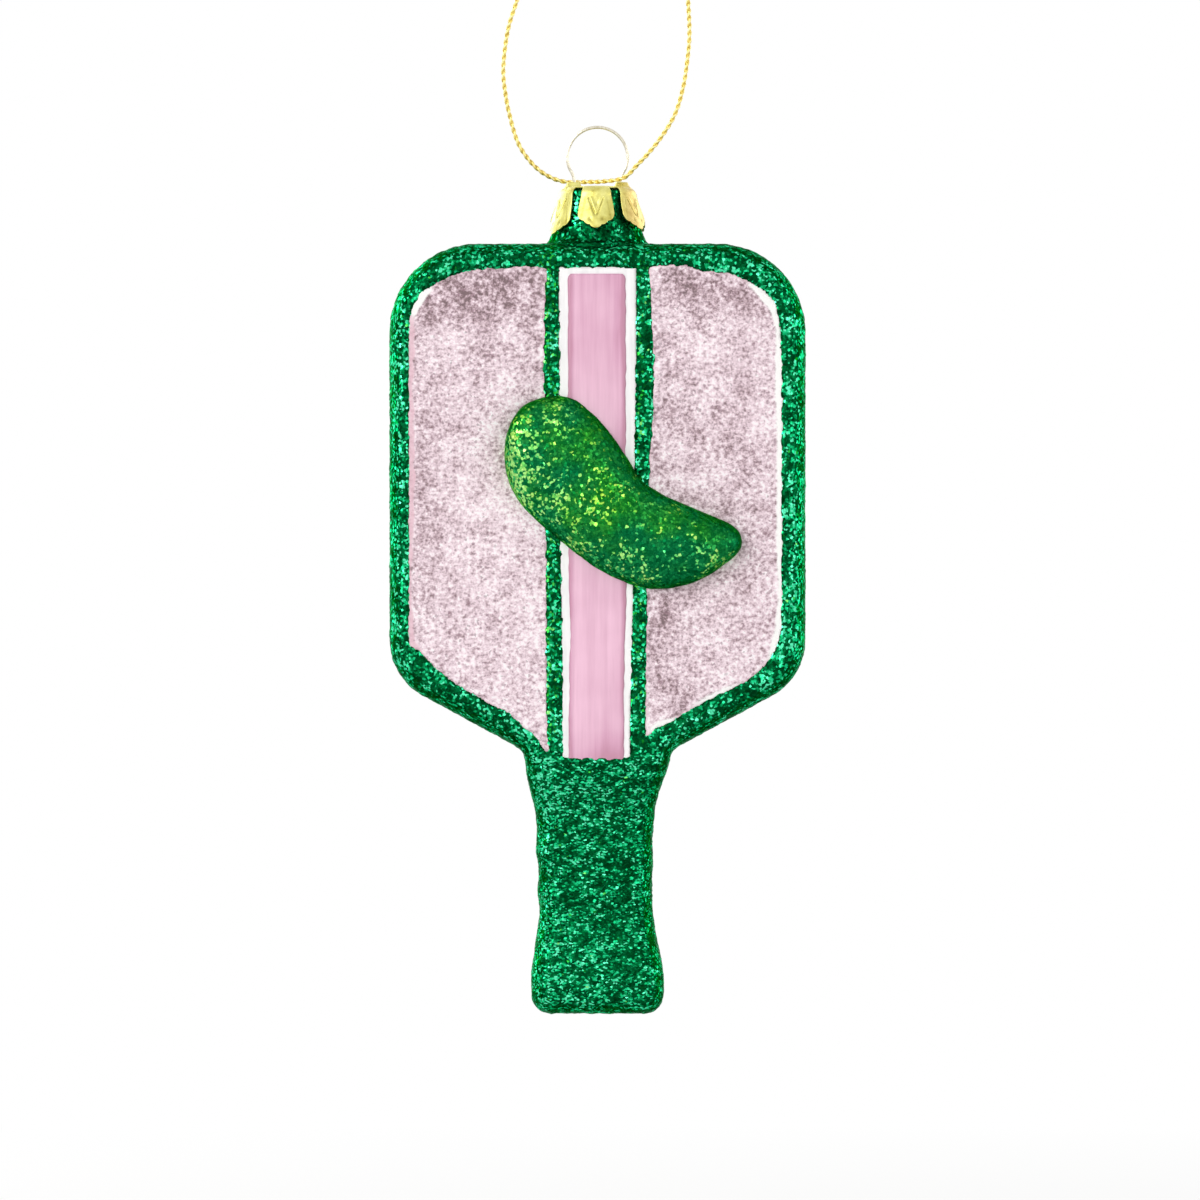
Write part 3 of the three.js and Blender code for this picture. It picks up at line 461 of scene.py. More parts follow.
disc_round = np.linspace(np.pi / 2, 0, 6)
disc_profile = np.concatenate([
    [(POLE_RADIUS, CAP_UNDERSIDE), (2.5, CAP_UNDERSIDE), (DISC_RADIUS, CAP_UNDERSIDE)],
    np.stack([DISC_RADIUS + DISC_ROUND * np.sin(disc_round),
              CAP_TOP - DISC_ROUND + DISC_ROUND * np.cos(disc_round)], -1),
    [(4.2, CAP_TOP + 0.04), (3.4, CAP_TOP + 0.1), (2.2, CAP_TOP + 0.2),
     (POLE_RADIUS, CAP_TOP + 0.26)],
])


def guide_body(side, sides=48):
    """Raised collar punched up round a leg: a lip and a flared foot round a long hole.

    The section (radius, height) goes round the leg, and its outer half is moved 0.35 mm out.
    """
    angle = full_turn(sides)
    shift = np.where(np.cos(angle) > 0, 0.35, 0.0)
    section = np.array([(0.48, -0.15), (0.48, 0.72), (0.56, 0.8), (0.68, 0.78), (0.78, 0.62),
                        (0.86, 0.4), (1.0, 0.16), (1.25, -0.02), (1.25, -0.2)])
    radius = section[:, :1]
    x = side * (LEG_HALF_SPACING + radius * np.cos(angle) + shift)
    rings = np.stack([x, radius * np.sin(angle), CAP_TOP + section[:, 1:] + 0 * x], -1)
    return closed_loops(rings)


cap = new_piece("foil_crown_cap", [*leaves, revolved(disc_profile), guide_body(-1), guide_body(1)],
                "cap", ["crown_cap"])

# %% [markdown]
# ## The paddle's outline
# The head is a rounded hexagon cut square at the top, and the handle is wrapped like a real
# one, so its sides are a little lumpy. Because the glass is hand-blown, the handle's left
# and right sides differ; their half widths are read off the photograph. The pieces of
# the outline are joined, smoothed and cut into even steps. The direction that faces out of
# the paddle at each step comes from the neighbours.

# %% Outline, heights and half widths in mm
HALF_HEAD = 29.2
HALF_THROAT = 10.2
THROAT_HEIGHT = 36.9
LOWER_CORNER = 47.2
DIAGONAL = math.atan2(LOWER_CORNER - THROAT_HEIGHT, HALF_HEAD - HALF_THROAT)
BEND = math.pi / 2 - DIAGONAL
END_ROUND = 2.6
THROAT_ROUND = 2.0
LOWER_ROUND = 9.0
TOP_ROUND = 12.4
GRIP_TOP = THROAT_HEIGHT - THROAT_ROUND * math.tan(BEND / 2)
HEAD_TOP = 108.1
HEAD_HALF_DEPTH = 10.0
OUTLINE_STEP = 0.36

HANDLE_HEIGHTS = np.array([2.6, 4.5, 6.2, 7.3, 8.5, 10.2, 11.8, 13.5, 15.2, 16.9, 18.6, 20.9,
                           22.6, 24.3, 25.4, 27.6, 29.3, 30.5, 31.6, 32.7, 33.8, GRIP_TOP])
HANDLE_LEFT = np.array([9.3, 9.3, 9.25, 9.05, 8.85, 8.7, 8.4, 8.15, 8.15, 8.4, 8.3, 8.25,
                        8.65, 8.6, 8.5, 8.6, 8.9, 9.25, 9.55, 9.8, 10.0, 10.2])
HANDLE_RIGHT = np.array([9.3, 9.35, 9.2, 9.0, 8.75, 8.35, 8.1, 7.85, 7.7, 7.65, 7.65, 7.8,
                         7.75, 7.7, 7.8, 7.95, 8.15, 8.5, 8.8, 9.2, 9.65, 10.2])


def arc(centre_x, centre_z, radius, start, end, count=24):
    """Points on a circle between two angles: centre + radius (cos(angle), sin(angle))."""
    angle = np.linspace(start, end, count)
    return np.stack([centre_x + radius * np.cos(angle), centre_z + radius * np.sin(angle)], -1)


def half_outline(half_widths):
    """Right half of the outline from the handle's end up to the top edge."""
    heights = np.linspace(END_ROUND + 0.2, GRIP_TOP - 0.1, 100)
    side = np.stack([np.interp(heights, HANDLE_HEIGHTS, half_widths), heights], -1)
    lower_z = LOWER_CORNER + LOWER_ROUND * math.tan(BEND / 2)
    return np.vstack([
        [(0, 0)],
        arc(half_widths[0] - END_ROUND, END_ROUND, END_ROUND, -np.pi / 2, 0),
        side,
        arc(HALF_THROAT + THROAT_ROUND, GRIP_TOP, THROAT_ROUND, np.pi, np.pi - BEND),
        arc(HALF_HEAD - LOWER_ROUND, lower_z, LOWER_ROUND, -BEND, 0),
        arc(HALF_HEAD - TOP_ROUND, HEAD_TOP - TOP_ROUND, TOP_ROUND, 0, np.pi / 2, 60),
    ])


def closed_outline(spacing):
    """Whole outline in even steps, with its outward directions.

    Each pass averages neighbours 1 : 2 : 1, and the passes smooth over about 0.4 mm.
    """
    right, left = half_outline(HANDLE_RIGHT), half_outline(HANDLE_LEFT) * (-1, 1)
    loop = even_steps(np.vstack([right, left[::-1]]), spacing)[:-1]
    for _ in range(round(0.25 / spacing ** 2) + 1):
        loop = (np.roll(loop, 1, axis=0) + 2 * loop + np.roll(loop, -1, axis=0)) / 4
    along = np.roll(loop, -1, axis=0) - np.roll(loop, 1, axis=0)
    along /= np.linalg.norm(along, axis=1)[:, None]
    return loop, np.stack([along[:, 1], -along[:, 0]], -1)


outline, outward = closed_outline(OUTLINE_STEP)
print("outline of", len(outline), "points")


# %% Depth of the paddle and a soft unevenness
def half_depth(height):
    """Half the paddle's depth in mm: in proportion to the handle's mean half width below."""
    mean = (HANDLE_LEFT + HANDLE_RIGHT) / 2
    return HEAD_HALF_DEPTH * np.interp(height, HANDLE_HEIGHTS, mean) / HALF_THROAT


def lumps(points, size, seed):
    """Smooth random field from about -1 to 1: fourteen waves of one length, summed.

    The wave k is sin(2 pi d_k . p / size + phase_k), with seeded directions and phases. The
    sum is divided by 5.3, which is twice its usual size, the root of fourteen halves.
    """
    draw = np.random.default_rng(seed)
    direction = draw.normal(size=(14, 3))
    direction /= np.linalg.norm(direction, axis=1)[:, None]
    phase = draw.uniform(0, 2 * np.pi, 14)
    angle = 2 * np.pi * points @ direction.T / size + phase
    return np.sin(angle).sum(axis=-1) / 5.3


def grit(points):
    """Relief of the glitter in mm: coarse heaps of 1.8 mm and grains of 0.7 mm."""
    return 0.06 * lumps(points, 1.8, 3) + 0.05 * lumps(points, 0.7, 4)


# %% [markdown]
# ## The glittered rim
# The rim goes all the way round the paddle: a rounded edge from the front face over the
# side to the back. Its cross section is one closed loop, an outer wall with a quarter
# ellipse at the front and at the back and an inner wall 0.4 mm below it. The loop is
# carried round the outline, moved in along the outward direction by each point's inset.

# %% Rim round the whole paddle
EDGE_ACROSS = 2.3
EDGE_DEEP = 6.0
COAT = 0.4
SIDE_ROWS = 9

quarter = np.linspace(0, np.pi / 2, 13)
front_inset = np.concatenate([[3.4, 3.0, 2.7], EDGE_ACROSS * (1 - np.sin(quarter))])
front_rise = EDGE_DEEP * np.concatenate([np.ones(3), np.cos(quarter)])
front_rise[:3] += (-0.75, -0.3, -0.05)


def rim_wall(inset, rise, thickness):
    """Rings of one wall, from the front over the side to the back, at a depth in the coat.

    Each ring is outline - inset x outward, and its y is the side's half depth plus the rise.
    """
    side = half_depth(outline[:, 1]) - EDGE_DEEP
    front = side + rise[:, None] * (1 - thickness / EDGE_DEEP)
    share = np.linspace(-1, 1, SIDE_ROWS + 2)[1:-1]
    y = np.concatenate([-front, side * share[:, None], front[::-1]])
    across = thickness + inset * (1 - thickness / EDGE_ACROSS / 2)
    inward = np.concatenate([across, np.full(SIDE_ROWS, thickness), across[::-1]])
    ring = outline - outward * inward[:, None, None]
    return np.stack([ring[..., 0], y, ring[..., 1]], -1)


rim_outer = rim_wall(front_inset, front_rise, 0.0)
rim_inner = rim_wall(front_inset[::3], front_rise[::3], COAT)[::-1]
rim_around = np.roll(rim_outer, -1, axis=1) - np.roll(rim_outer, 1, axis=1)
rim_normal = np.cross(rim_around, np.gradient(rim_outer, axis=0))
rim_normal /= np.linalg.norm(rim_normal, axis=-1)[..., None] + 1e-9
from_middle = rim_outer - rim_outer.mean(axis=(0, 1)) * (0, 1, 1)
facing = np.sign((rim_normal * from_middle).sum(axis=-1).mean())
rim_outer = rim_outer + facing * rim_normal * grit(rim_outer)[..., None]
rim_body = closed_loops(np.concatenate([rim_outer, rim_inner]))
print("rim of", len(rim_outer) + len(rim_inner), "rings")

# %% [markdown]
# ## The neck
# A round neck grows out of the head's top edge, flared at its foot, and narrows up to the
# cap. It is a turned profile, with the same grit, and is closed under the cap's disc.

# %% Neck
NECK_FOOT_RADIUS = 8.0
NECK_FILLET = 1.4

neck_turn = np.radians(np.linspace(0, 75, 8))
neck_profile = np.concatenate([
    [(POLE_RADIUS, 104.5), (6.5, 104.5), (NECK_FOOT_RADIUS, 104.8), (NECK_FOOT_RADIUS, 106.5)],
    np.stack([NECK_FOOT_RADIUS - NECK_FILLET * np.sin(neck_turn),
              HEAD_TOP + NECK_FILLET * (1 - np.cos(neck_turn))], -1),
    [(6.1, 110.6), (5.72, 111.6), (5.35, 112.6), (5.2, 113.6), (5.12, 114.6), (5.08, 115.3),
     (4.95, 115.68), (POLE_RADIUS, 115.7)],
])
neck_points, *neck_faces = revolved(even_steps(neck_profile, 0.35), sides=110)
neck_radial = neck_points * (1, 1, 0)
neck_radial /= np.linalg.norm(neck_radial, axis=1)[:, None] + 1e-9
neck_points = neck_points + neck_radial * grit(neck_points)[:, None]
rim = new_piece("green_glitter_rim", [rim_body, (neck_points, *neck_faces)],
                "paddle", ["green_glitter_coat"])

# %% [markdown]
# ## Painted areas of the face
# The face has three slightly sunk windows: a panel on each side and a white band in the
# middle. Between them stand two ridge lines of glitter. A window is a polygon whose corners
# are read off the photograph. The signed distance from any point to its border tells where
# paint ends and glitter starts, and how high the glitter stands there.

# %% Windows and the distance to their borders
LEFT_WINDOW = np.array([
    (-7.2, 104.3), (-9.5, 104.5), (-14.2, 104.3), (-17.4, 103.9), (-19.5, 103.6),
    (-21.6, 102.6), (-23.3, 101.6), (-24.5, 101.0), (-25.6, 99.9), (-26.4, 98.4),
    (-26.9, 95.5), (-27.0, 90.0), (-27.0, 60.0), (-26.8, 53.6), (-26.1, 51.9),
    (-24.9, 51.2), (-22.5, 48.7), (-18.7, 45.9), (-15.0, 43.8), (-12.7, 42.8), (-10.8, 41.0),
    (-8.7, 38.9), (-7.1, 37.1), (-7.3, 45.0), (-7.35, 62.0), (-7.4, 80.0), (-7.6, 86.0),
    (-7.6, 99.0)])
RIGHT_WINDOW = np.array([
    (7.5, 104.5), (12.2, 104.7), (14.3, 103.9), (18.5, 103.5), (20.6, 102.6), (22.8, 101.4),
    (24.7, 99.5), (25.3, 96.0), (25.55, 92.0), (25.55, 60.0), (25.5, 54.0), (24.9, 51.6),
    (24.0, 50.0), (22.7, 48.5), (20.6, 46.8), (16.4, 44.8), (14.3, 43.8), (10.1, 41.2),
    (8.0, 40.3), (6.85, 39.3), (6.9, 45.0), (7.1, 56.0), (7.5, 78.0), (7.95, 84.0),
    (8.1, 92.0), (7.7, 98.6)])
BAND_WINDOW = np.array([
    (-5.2, 104.4), (5.3, 104.4), (5.3, 95.0), (5.05, 80.0), (4.85, 60.0), (4.5, 45.0),
    (4.45, 36.2), (-4.7, 36.3), (-4.75, 50.0), (-5.1, 70.0), (-5.15, 90.0)])


def distance_to(polygon, x, z):
    """Distance in mm from points to a polygon's border, negative inside it.

    For each edge the nearest point is the foot of the perpendicular, held between the
    edge's ends; a point is inside when a level ray from it crosses an odd number of edges.
    """
    nearest = np.full(x.shape, 1e9)
    inside = np.zeros(x.shape, dtype=bool)
    for (ax, az), (bx, bz) in zip(polygon, np.roll(polygon, -1, axis=0)):
        dx, dz = bx - ax, bz - az
        t = np.clip(((x - ax) * dx + (z - az) * dz) / (dx * dx + dz * dz), 0, 1)
        nearest = np.minimum(nearest, np.hypot(x - ax - t * dx, z - az - t * dz))
        if dz:
            inside ^= ((az > z) != (bz > z)) & (x < ax + (z - az) * dx / dz)
    return np.where(inside, -nearest, nearest)


# %% Layers cut from one fine grid
def field_points(x, z, slice_at):
    """Points (x, slice, z) to read a random field at, so that each layer has its own slice."""
    return np.stack([x, np.full_like(x, float(slice_at)), z], -1)


def layer(low, high, spacing, keep, depth_of, thickness):
    """Thin closed sheet over the cells of a level grid where keep is true at all corners.

    The front of the sheet is y = -depth, and the back lies one thickness behind it. Each
    side of a cell that no kept cell shares gets a face from the front to the back.
    """
    x = np.arange(low[0], high[0] + spacing, spacing)
    z = np.arange(low[1], high[1] + spacing, spacing)
    x, z = np.meshgrid(x, z)
    kept = keep(x, z)
    quads = grid_quads(*x.shape)
    quads = quads[kept.ravel()[quads].all(axis=1)]
    used, numbers = np.unique(quads, return_inverse=True)
    quads = numbers.reshape(-1, 4)
    x, z = x.ravel()[used], z.ravel()[used]
    front = np.stack([x, -depth_of(x, z), z], -1)
    behind = front + (0, thickness, 0)
    edges = np.concatenate([quads[:, [k, (k + 1) % 4]] for k in range(4)])
    own, opposite = edges @ (len(used), 1), edges @ (1, len(used))
    border = edges[~np.isin(own, opposite)]
    seam = np.concatenate([border[:, ::-1], border + len(used)], axis=1)
    faces = np.concatenate([quads, quads[:, ::-1] + len(used), seam])
    return faces_outward(np.concatenate([front, behind]), faces)


def on_back(body):
    """The same body on the other face: turned half round the vertical axis."""
    points, *faces = body
    return points * (-1, -1, 1), *faces


def face_pieces(slot, *rows):
    """One piece on the paddle for each row (name, body, replaced node); slot is not used."""
    return [new_piece(name, [body], "paddle", [node]) for name, body, node in rows]


# %% [markdown]
# ## Glitter on the faces
# The glitter of a face covers all but the windows: the inner part of the rim, the two
# ridge lines and the whole front of the handle. It is glued on in a round bead, so it
# rises from nothing at a window's border to its full height within a millimetre.

# %% Front and back glitter
def inset_from_outline(x, z):
    """Distance in mm from the paddle's outline, positive inside it."""
    return -distance_to(outline[::3], x, z)


BEAD_WIDTH = 0.85
BEAD_HEIGHT = 0.52
GLASS_BELOW = 0.5
EDGE_TUCK = 0.9
EDGE_OVERLAP = 1.5
WINDOW_OVERLAP = 0.3
GLITTER_SPACING = 0.3
FACE_LOW = (-28, 0.9)
FACE_HIGH = (28, 107.4)


def bead(distance):
    """Height of the glitter over the glass in mm: a quarter of an ellipse, then level."""
    t = np.clip(distance / BEAD_WIDTH, -0.5, 1)
    return np.where(t > 0, BEAD_HEIGHT * np.sqrt(np.clip(1 - (1 - t) ** 2, 0, 1)), 0.5 * t)


def window_distance(x, z, windows):
    """Distance to the nearest window."""
    return np.min([distance_to(window, x, z) for window in windows], axis=0)


def glitter_depth(windows, seed):
    """Depth of the glitter's face: the glass, then the bead on it, lumps and grit.

    The glass lies 0.5 mm inside the paddle's half depth. Next to the rounded edge the face
    dips by 0.9 mm, so that it ends inside the rim's coat.
    """
    def depth_of(x, z):
        spot = field_points(x, z, seed)
        wobble = 0.11 * lumps(spot, 1.5, 20 + seed) + 0.07 * lumps(spot, 0.6, 21 + seed)
        raised = bead(window_distance(x, z, windows) + wobble)
        at_edge = 1 - ease(inset_from_outline(x, z), EDGE_OVERLAP, EDGE_OVERLAP + BEAD_WIDTH)
        face = half_depth(z) - GLASS_BELOW
        rough = 0.07 * lumps(spot, 1.6, 22 + seed) + 0.05 * lumps(spot, 0.75, 23 + seed)
        on_handle = 1 - ease(z, 33.0, 37.0)
        rough = rough + 0.09 * on_handle * lumps(spot * (0.5, 1, 1.6), 4.5, 24 + seed)
        return face + raised + rough - EDGE_TUCK * at_edge
    return depth_of


def glitter_cells(windows):
    """Cells inside the rounded edge and not deep inside a window."""
    def keep(x, z):
        inside = inset_from_outline(x, z) > EDGE_OVERLAP
        return inside & (window_distance(x, z, windows) > -WINDOW_OVERLAP)
    return keep


FRONT_WINDOWS = [LEFT_WINDOW, RIGHT_WINDOW, BAND_WINDOW]
BACK_WINDOWS = [LEFT_WINDOW, LEFT_WINDOW * (-1, 1), BAND_WINDOW * (-1, 1)]
front_body, back_body = (
    layer(FACE_LOW, FACE_HIGH, GLITTER_SPACING, glitter_cells(windows),
          glitter_depth(windows, seed), COAT)
    for windows, seed in ((FRONT_WINDOWS, 1), (BACK_WINDOWS, 7)))
front_glitter, back_glitter = face_pieces(
    "green_glitter",
    ("front_green_glitter", front_body, "green_glitter_coat"),
    ("back_green_glitter", on_back(back_body), "green_glitter_coat"))

# %% [markdown]
# ## Panels
# The panels are pale pink paint dusted with fine silver glitter while it was wet. Each is a
# thin sheet that runs a little way under the bead of green glitter, so the border that
# shows is the one that the glitter leaves. The paint is a little thicker in its middle.

# %% Four panels
PANEL_DEPTH = 9.78
PANEL_CROWN = 0.08
PANEL_OVERLAP = 0.6
PANEL_THICKNESS = 0.22
PANEL_SPACING = 0.42


def panel_body(window, seed):
    """Sheet that reaches 0.6 mm past the window's border, with a low crown and a fine grain."""
    def keep(x, z):
        return distance_to(window, x, z) < PANEL_OVERLAP

    def depth_of(x, z):
        crown = PANEL_CROWN * ease(-distance_to(window, x, z), 0, 3)
        spot = field_points(x, z, seed)
        grain = 0.02 * lumps(spot, 5, seed) + 0.018 * lumps(spot, 0.9, seed + 1)
        return PANEL_DEPTH + crown + grain
    low, high = window.min(axis=0) - PANEL_OVERLAP, window.max(axis=0) + PANEL_OVERLAP
    return layer(low, high, PANEL_SPACING, keep, depth_of, PANEL_THICKNESS)


left_panel, right_panel, back_left, back_right = face_pieces(
    "pink_glitter",
    ("left_pink_panel", panel_body(LEFT_WINDOW, 31), "front_left_panel"),
    ("right_pink_panel", panel_body(RIGHT_WINDOW, 33), "front_right_panel"),
    ("back_left_pink_panel", on_back(panel_body(BACK_WINDOWS[1], 35)), "back_left_panel"),
    ("back_right_pink_panel", on_back(panel_body(BACK_WINDOWS[0], 37)), "back_right_panel"))

# %% [markdown]
# ## Band and stripe
# White enamel was brushed on down the middle, and an orchid pink stripe over it, so the
# white shows as a border. The stripe was painted by hand: its edges waver by a tenth of a
# millimetre, and in the long run they drift by up to three tenths, as the photograph shows.
# The stripe is a grid with one parameter across and one along it, and the pickle parts both
# layers, between the heights UNDER_PICKLE and OVER_PICKLE.

# %% White band
BAND_DEPTH = 9.74
BAND_OVERLAP = 0.5
BAND_THICKNESS = 0.15
BAND_SPACING = 0.4
BAND_LOW = (-6.2, 34.6)
BAND_HIGH = (6.2, 106.2)
UNDER_PICKLE = 68
OVER_PICKLE = 76


def band_body(window, bottom, top, seed):
    """Sheet of enamel between two heights, a little wider than its window."""
    def keep(x, z):
        return (distance_to(window, x, z) < BAND_OVERLAP) & (z > bottom) & (z < top)

    def depth_of(x, z):
        return BAND_DEPTH + 0.02 * lumps(field_points(x, z, seed), 2.5, seed)
    return layer(BAND_LOW, BAND_HIGH, BAND_SPACING, keep, depth_of, BAND_THICKNESS)


upper_band, lower_band, back_band = face_pieces(
    "white_enamel",
    ("upper_white_band", band_body(BAND_WINDOW, OVER_PICKLE, HEAD_TOP, 41), "front_upper_band"),
    ("lower_white_band", band_body(BAND_WINDOW, 0, UNDER_PICKLE, 42), "front_lower_band"),
    ("back_white_band", on_back(band_body(BACK_WINDOWS[2], 0, HEAD_TOP, 43)), "back_band"))

# %% Pink stripe
STRIPE_FOOT = 35.2
STRIPE_TOP = 103.8
STRIPE_HALF_WIDTH = 4.0
STRIPE_DEPTH = 9.76
STRIPE_BACK = 9.72
STRIPE_CROWN = 0.13
STRIPE_SHOULDER = 0.35
STRIPE_STEP = 0.35
CORNER_RADIUS = 0.9


def stripe_sides(height, seed):
    """The left and the right x at each height: a straight line, its slow drift, its waver."""
    spot = field_points(0.0 * height, height, seed)
    upper = ease(height, 60, 76)
    left = -STRIPE_HALF_WIDTH - 0.13 * upper
    left = left + 0.24 * ridge(height - 53, 4.5) - 0.08 * ridge(height - 41, 3)
    right = STRIPE_HALF_WIDTH - 0.06 * upper - 0.27 * (1 - ease(height, 50, 58))
    return (left + 0.07 * lumps(spot, 6, seed) + 0.05 * lumps(spot, 1.6, seed + 1),
            right + 0.07 * lumps(spot, 7, seed + 2) + 0.05 * lumps(spot, 1.5, seed + 3))


def stripe_body(bottom, top, seed, round_top=True, columns=28):
    """Crowned strip of paint: x runs between the two sides, and y rises to the crown.

    It rises with the square root of the distance from the nearer side, and two sine waves
    across the strip are the ridges that the brush left. A round top is pulled in by
    r - sqrt(r^2 - g^2), with g the part of the radius r that is left above the height.
    """
    height = np.arange(bottom, top + 0.01, STRIPE_STEP)[:, None]
    left, right = (side[:, None] for side in stripe_sides(height[:, 0], seed))
    if round_top:
        gap = np.clip(CORNER_RADIUS - (top - height), 0, CORNER_RADIUS)
        pull = CORNER_RADIUS - np.sqrt(CORNER_RADIUS ** 2 - gap ** 2)
        left, right = left + pull, right - pull
    share = np.linspace(0, 1, columns)
    x = left + (right - left) * share
    from_side = 2 * STRIPE_HALF_WIDTH * np.minimum(share, 1 - share)
    thick = STRIPE_CROWN * np.sqrt(np.clip(from_side / STRIPE_SHOULDER, 0.02, 1))
    streak = 0.008 * np.sin(9 * x + 0.03 * height) + 0.006 * np.sin(23 * x + 2)
    front = np.stack([x, -(STRIPE_DEPTH + thick + streak), height + 0 * x], -1)
    behind = np.stack([x, 0 * x - STRIPE_BACK, height + 0 * x], -1)
    return closed_tube(np.concatenate([front, behind[:, ::-1]], axis=1))


lower_body = stripe_body(STRIPE_FOOT, UNDER_PICKLE, 55, round_top=False)
upper_stripe, lower_stripe, back_stripe = face_pieces(
    "pink_satin",
    ("upper_pink_stripe", stripe_body(OVER_PICKLE, STRIPE_TOP, 51), "front_upper_stripe"),
    ("lower_pink_stripe", lower_body, "front_lower_stripe"),
    ("back_pink_stripe", on_back(stripe_body(STRIPE_FOOT, STRIPE_TOP, 59)), "back_stripe"))

# %% [markdown]
# ## The pickle
# The pickle is blown in the face as a relief, and only its half in front of the face shows.
# Its two long edges, read off the photograph from the blunt top to the tip, carry it: rungs
# join the same share of both edges, and each rung is the width of a half ellipse that
# stands out of the face. The ellipse is deep where the rung is long, so both ends close
# round, and low bumps make it a cucumber.

# %% Pickle relief
PICKLE_UPPER_EDGE = np.array([
    (-11.9, 83.3), (-10.6, 85.0), (-9.1, 85.9), (-7.1, 86.4), (-4.6, 86.4), (-2.5, 85.7),
    (-0.4, 83.8), (2.3, 80.6), (4.3, 77.7), (5.6, 75.7), (6.7, 74.4), (8.3, 73.3),
    (10.3, 72.3), (12.8, 71.3), (15.9, 69.9), (18.6, 68.6), (19.8, 67.5), (20.2, 66.3)])
PICKLE_LOWER_EDGE = np.array([
    (-11.9, 83.3), (-12.7, 81.2), (-13.0, 79.2), (-12.9, 76.8), (-12.2, 74.2), (-10.7, 71.5),
    (-9.1, 69.8), (-7.3, 68.1), (-5.1, 66.2), (-1.3, 63.4), (1.9, 61.4), (5.9, 60.0),
    (9.6, 59.6), (13.4, 60.5), (16.9, 62.4), (19.2, 64.2), (20.0, 65.3), (20.2, 66.3)])
PICKLE_FOOT = 9.55
PICKLE_RISE = 4.9
PICKLE_SINK = 0.12
FULL_HALF_RUNG = 7.5


def pickle_body(stations=170, sides=180):
    """Closed relief: each ring is middle + half rung x cos(a) across and rise x sin(a) out.

    With s the half rung over FULL_HALF_RUNG, at most 1, the rise is a part of PICKLE_RISE,
    sqrt(1 - (1 - s)^2). Behind the face the ring is flat: it sinks by only 0.12 of the rise.
    """
    edges = [smooth_line(edge, 0.05) for edge in (PICKLE_UPPER_EDGE, PICKLE_LOWER_EDGE)]
    share = (1 - np.cos(np.linspace(0.03, np.pi - 0.03, stations))) / 2
    upper, lower = (np.stack([np.interp(share * (len(edge) - 1), np.arange(len(edge)), column)
                              for column in edge.T], -1) for edge in edges)
    centre, half_rung = (upper + lower) / 2, (upper - lower) / 2
    swell = np.clip(np.linalg.norm(half_rung, axis=1)[:, None] / FULL_HALF_RUNG, 0, 1)
    rise = PICKLE_RISE * np.sqrt(1 - (1 - swell) ** 2)
    angle = full_turn(sides)
    x, z = (centre[:, k:k + 1] + half_rung[:, k:k + 1] * np.cos(angle) for k in (0, 1))
    bulge = rise * np.sin(angle)
    relief = np.where(bulge > 0, bulge, bulge * PICKLE_SINK)
    rings = np.stack([x, -PICKLE_FOOT - relief, z], -1)
    out = rings - np.insert(centre, 1, -PICKLE_FOOT, axis=1)[:, None]
    out /= np.linalg.norm(out, axis=-1)[..., None] + 1e-9
    bumps = 0.1 * lumps(rings, 7, 61) + 0.05 * lumps(rings, 2.2, 62) + 0.02 * lumps(rings, 0.6, 63)
    rings = rings + out * (bumps * np.sqrt(swell))[..., None]
    return closed_tube(rings)


[pickle] = face_pieces("pickle_glitter",
                       ("glitter_pickle", pickle_body(), "pickle_glitter_coat"))

# %% [markdown]
# ## Finishes
# Each finish starts from the real material. Colours are written as on a screen, in sRGB, and
# one function turns them to the linear values that a shader needs. One small function adds
# a node with its settings and links, and a finish is then a short list of such nodes. Every
# pattern reads Object coordinates, in metres, so a pattern of s mm has the scale 1000 / s.

# %% Colours and nodes
def colour(code):
    """Linear colour of an sRGB hex code, for each part c from 0 to 1.

    It is ((c + 0.055) / 1.055)^2.4 where c is above 0.04045, and c / 12.92 elsewhere.
    """
    parts = np.array([int(code[k:k + 2], 16) for k in (1, 3, 5)]) / 255
    linear = np.where(parts > 0.04045, ((parts + 0.055) / 1.055) ** 2.4, parts / 12.92)
    return (*linear.tolist(), 1.0)


def add(tree, kind, inputs=(), stops=(), **settings):
    """Node of a kind with its settings and links, and the stops (place, colour) of a ramp.

    Inputs maps a socket's name or number to a value, to another socket, or to a node, which
    stands for its first output. A plain tuple fills the sockets in their order.
    """
    node = tree.nodes.new("ShaderNode" + kind)
    for key, value in settings.items():
        setattr(node, key, value)
    for key, value in inputs.items() if isinstance(inputs, dict) else enumerate(inputs):
        if isinstance(value, bpy.types.Node):
            value = value.outputs[0]
        if isinstance(value, bpy.types.NodeSocket):
            tree.links.new(value, node.inputs[key])
        else:
            node.inputs[key].default_value = value
    for _ in stops[2:]:
        node.color_ramp.elements.new(0.5)
    for at, (position, code) in enumerate(stops):
        node.color_ramp.elements[at].position = position
        node.color_ramp.elements[at].color = colour(code)
    return node


# %% A finish and the pieces that get it
def new_finish(name, pieces, values):
    """Gives pieces a new material; returns its tree, its Principled shader and Object place."""
    material = bpy.data.materials.new(name)
    material.use_nodes = True
    tree = material.node_tree
    tree.nodes.clear()
    shader = add(tree, "BsdfPrincipled", values)
    add(tree, "OutputMaterial", {"Surface": shader})
    for piece in pieces:
        piece.data.materials.clear()
        piece.data.materials.append(material)
    return tree, shader, add(tree, "TexCoord").outputs["Object"]


def feed(tree, shader, **sources):
    """Links sources to the shader's sockets, whose names have a space for each underscore."""
    for name, source in sources.items():
        socket = source.outputs[0] if isinstance(source, bpy.types.Node) else source
        tree.links.new(socket, shader.inputs[name.replace("_", " ")])


def set_numbers(piece, name, values):
    """Stores one number for each vertex of a piece, which a finish reads by its name."""
    attribute = piece.data.attributes.new(name, "FLOAT", "POINT")
    attribute.data.foreach_set("value", np.asarray(values, dtype=np.float32))


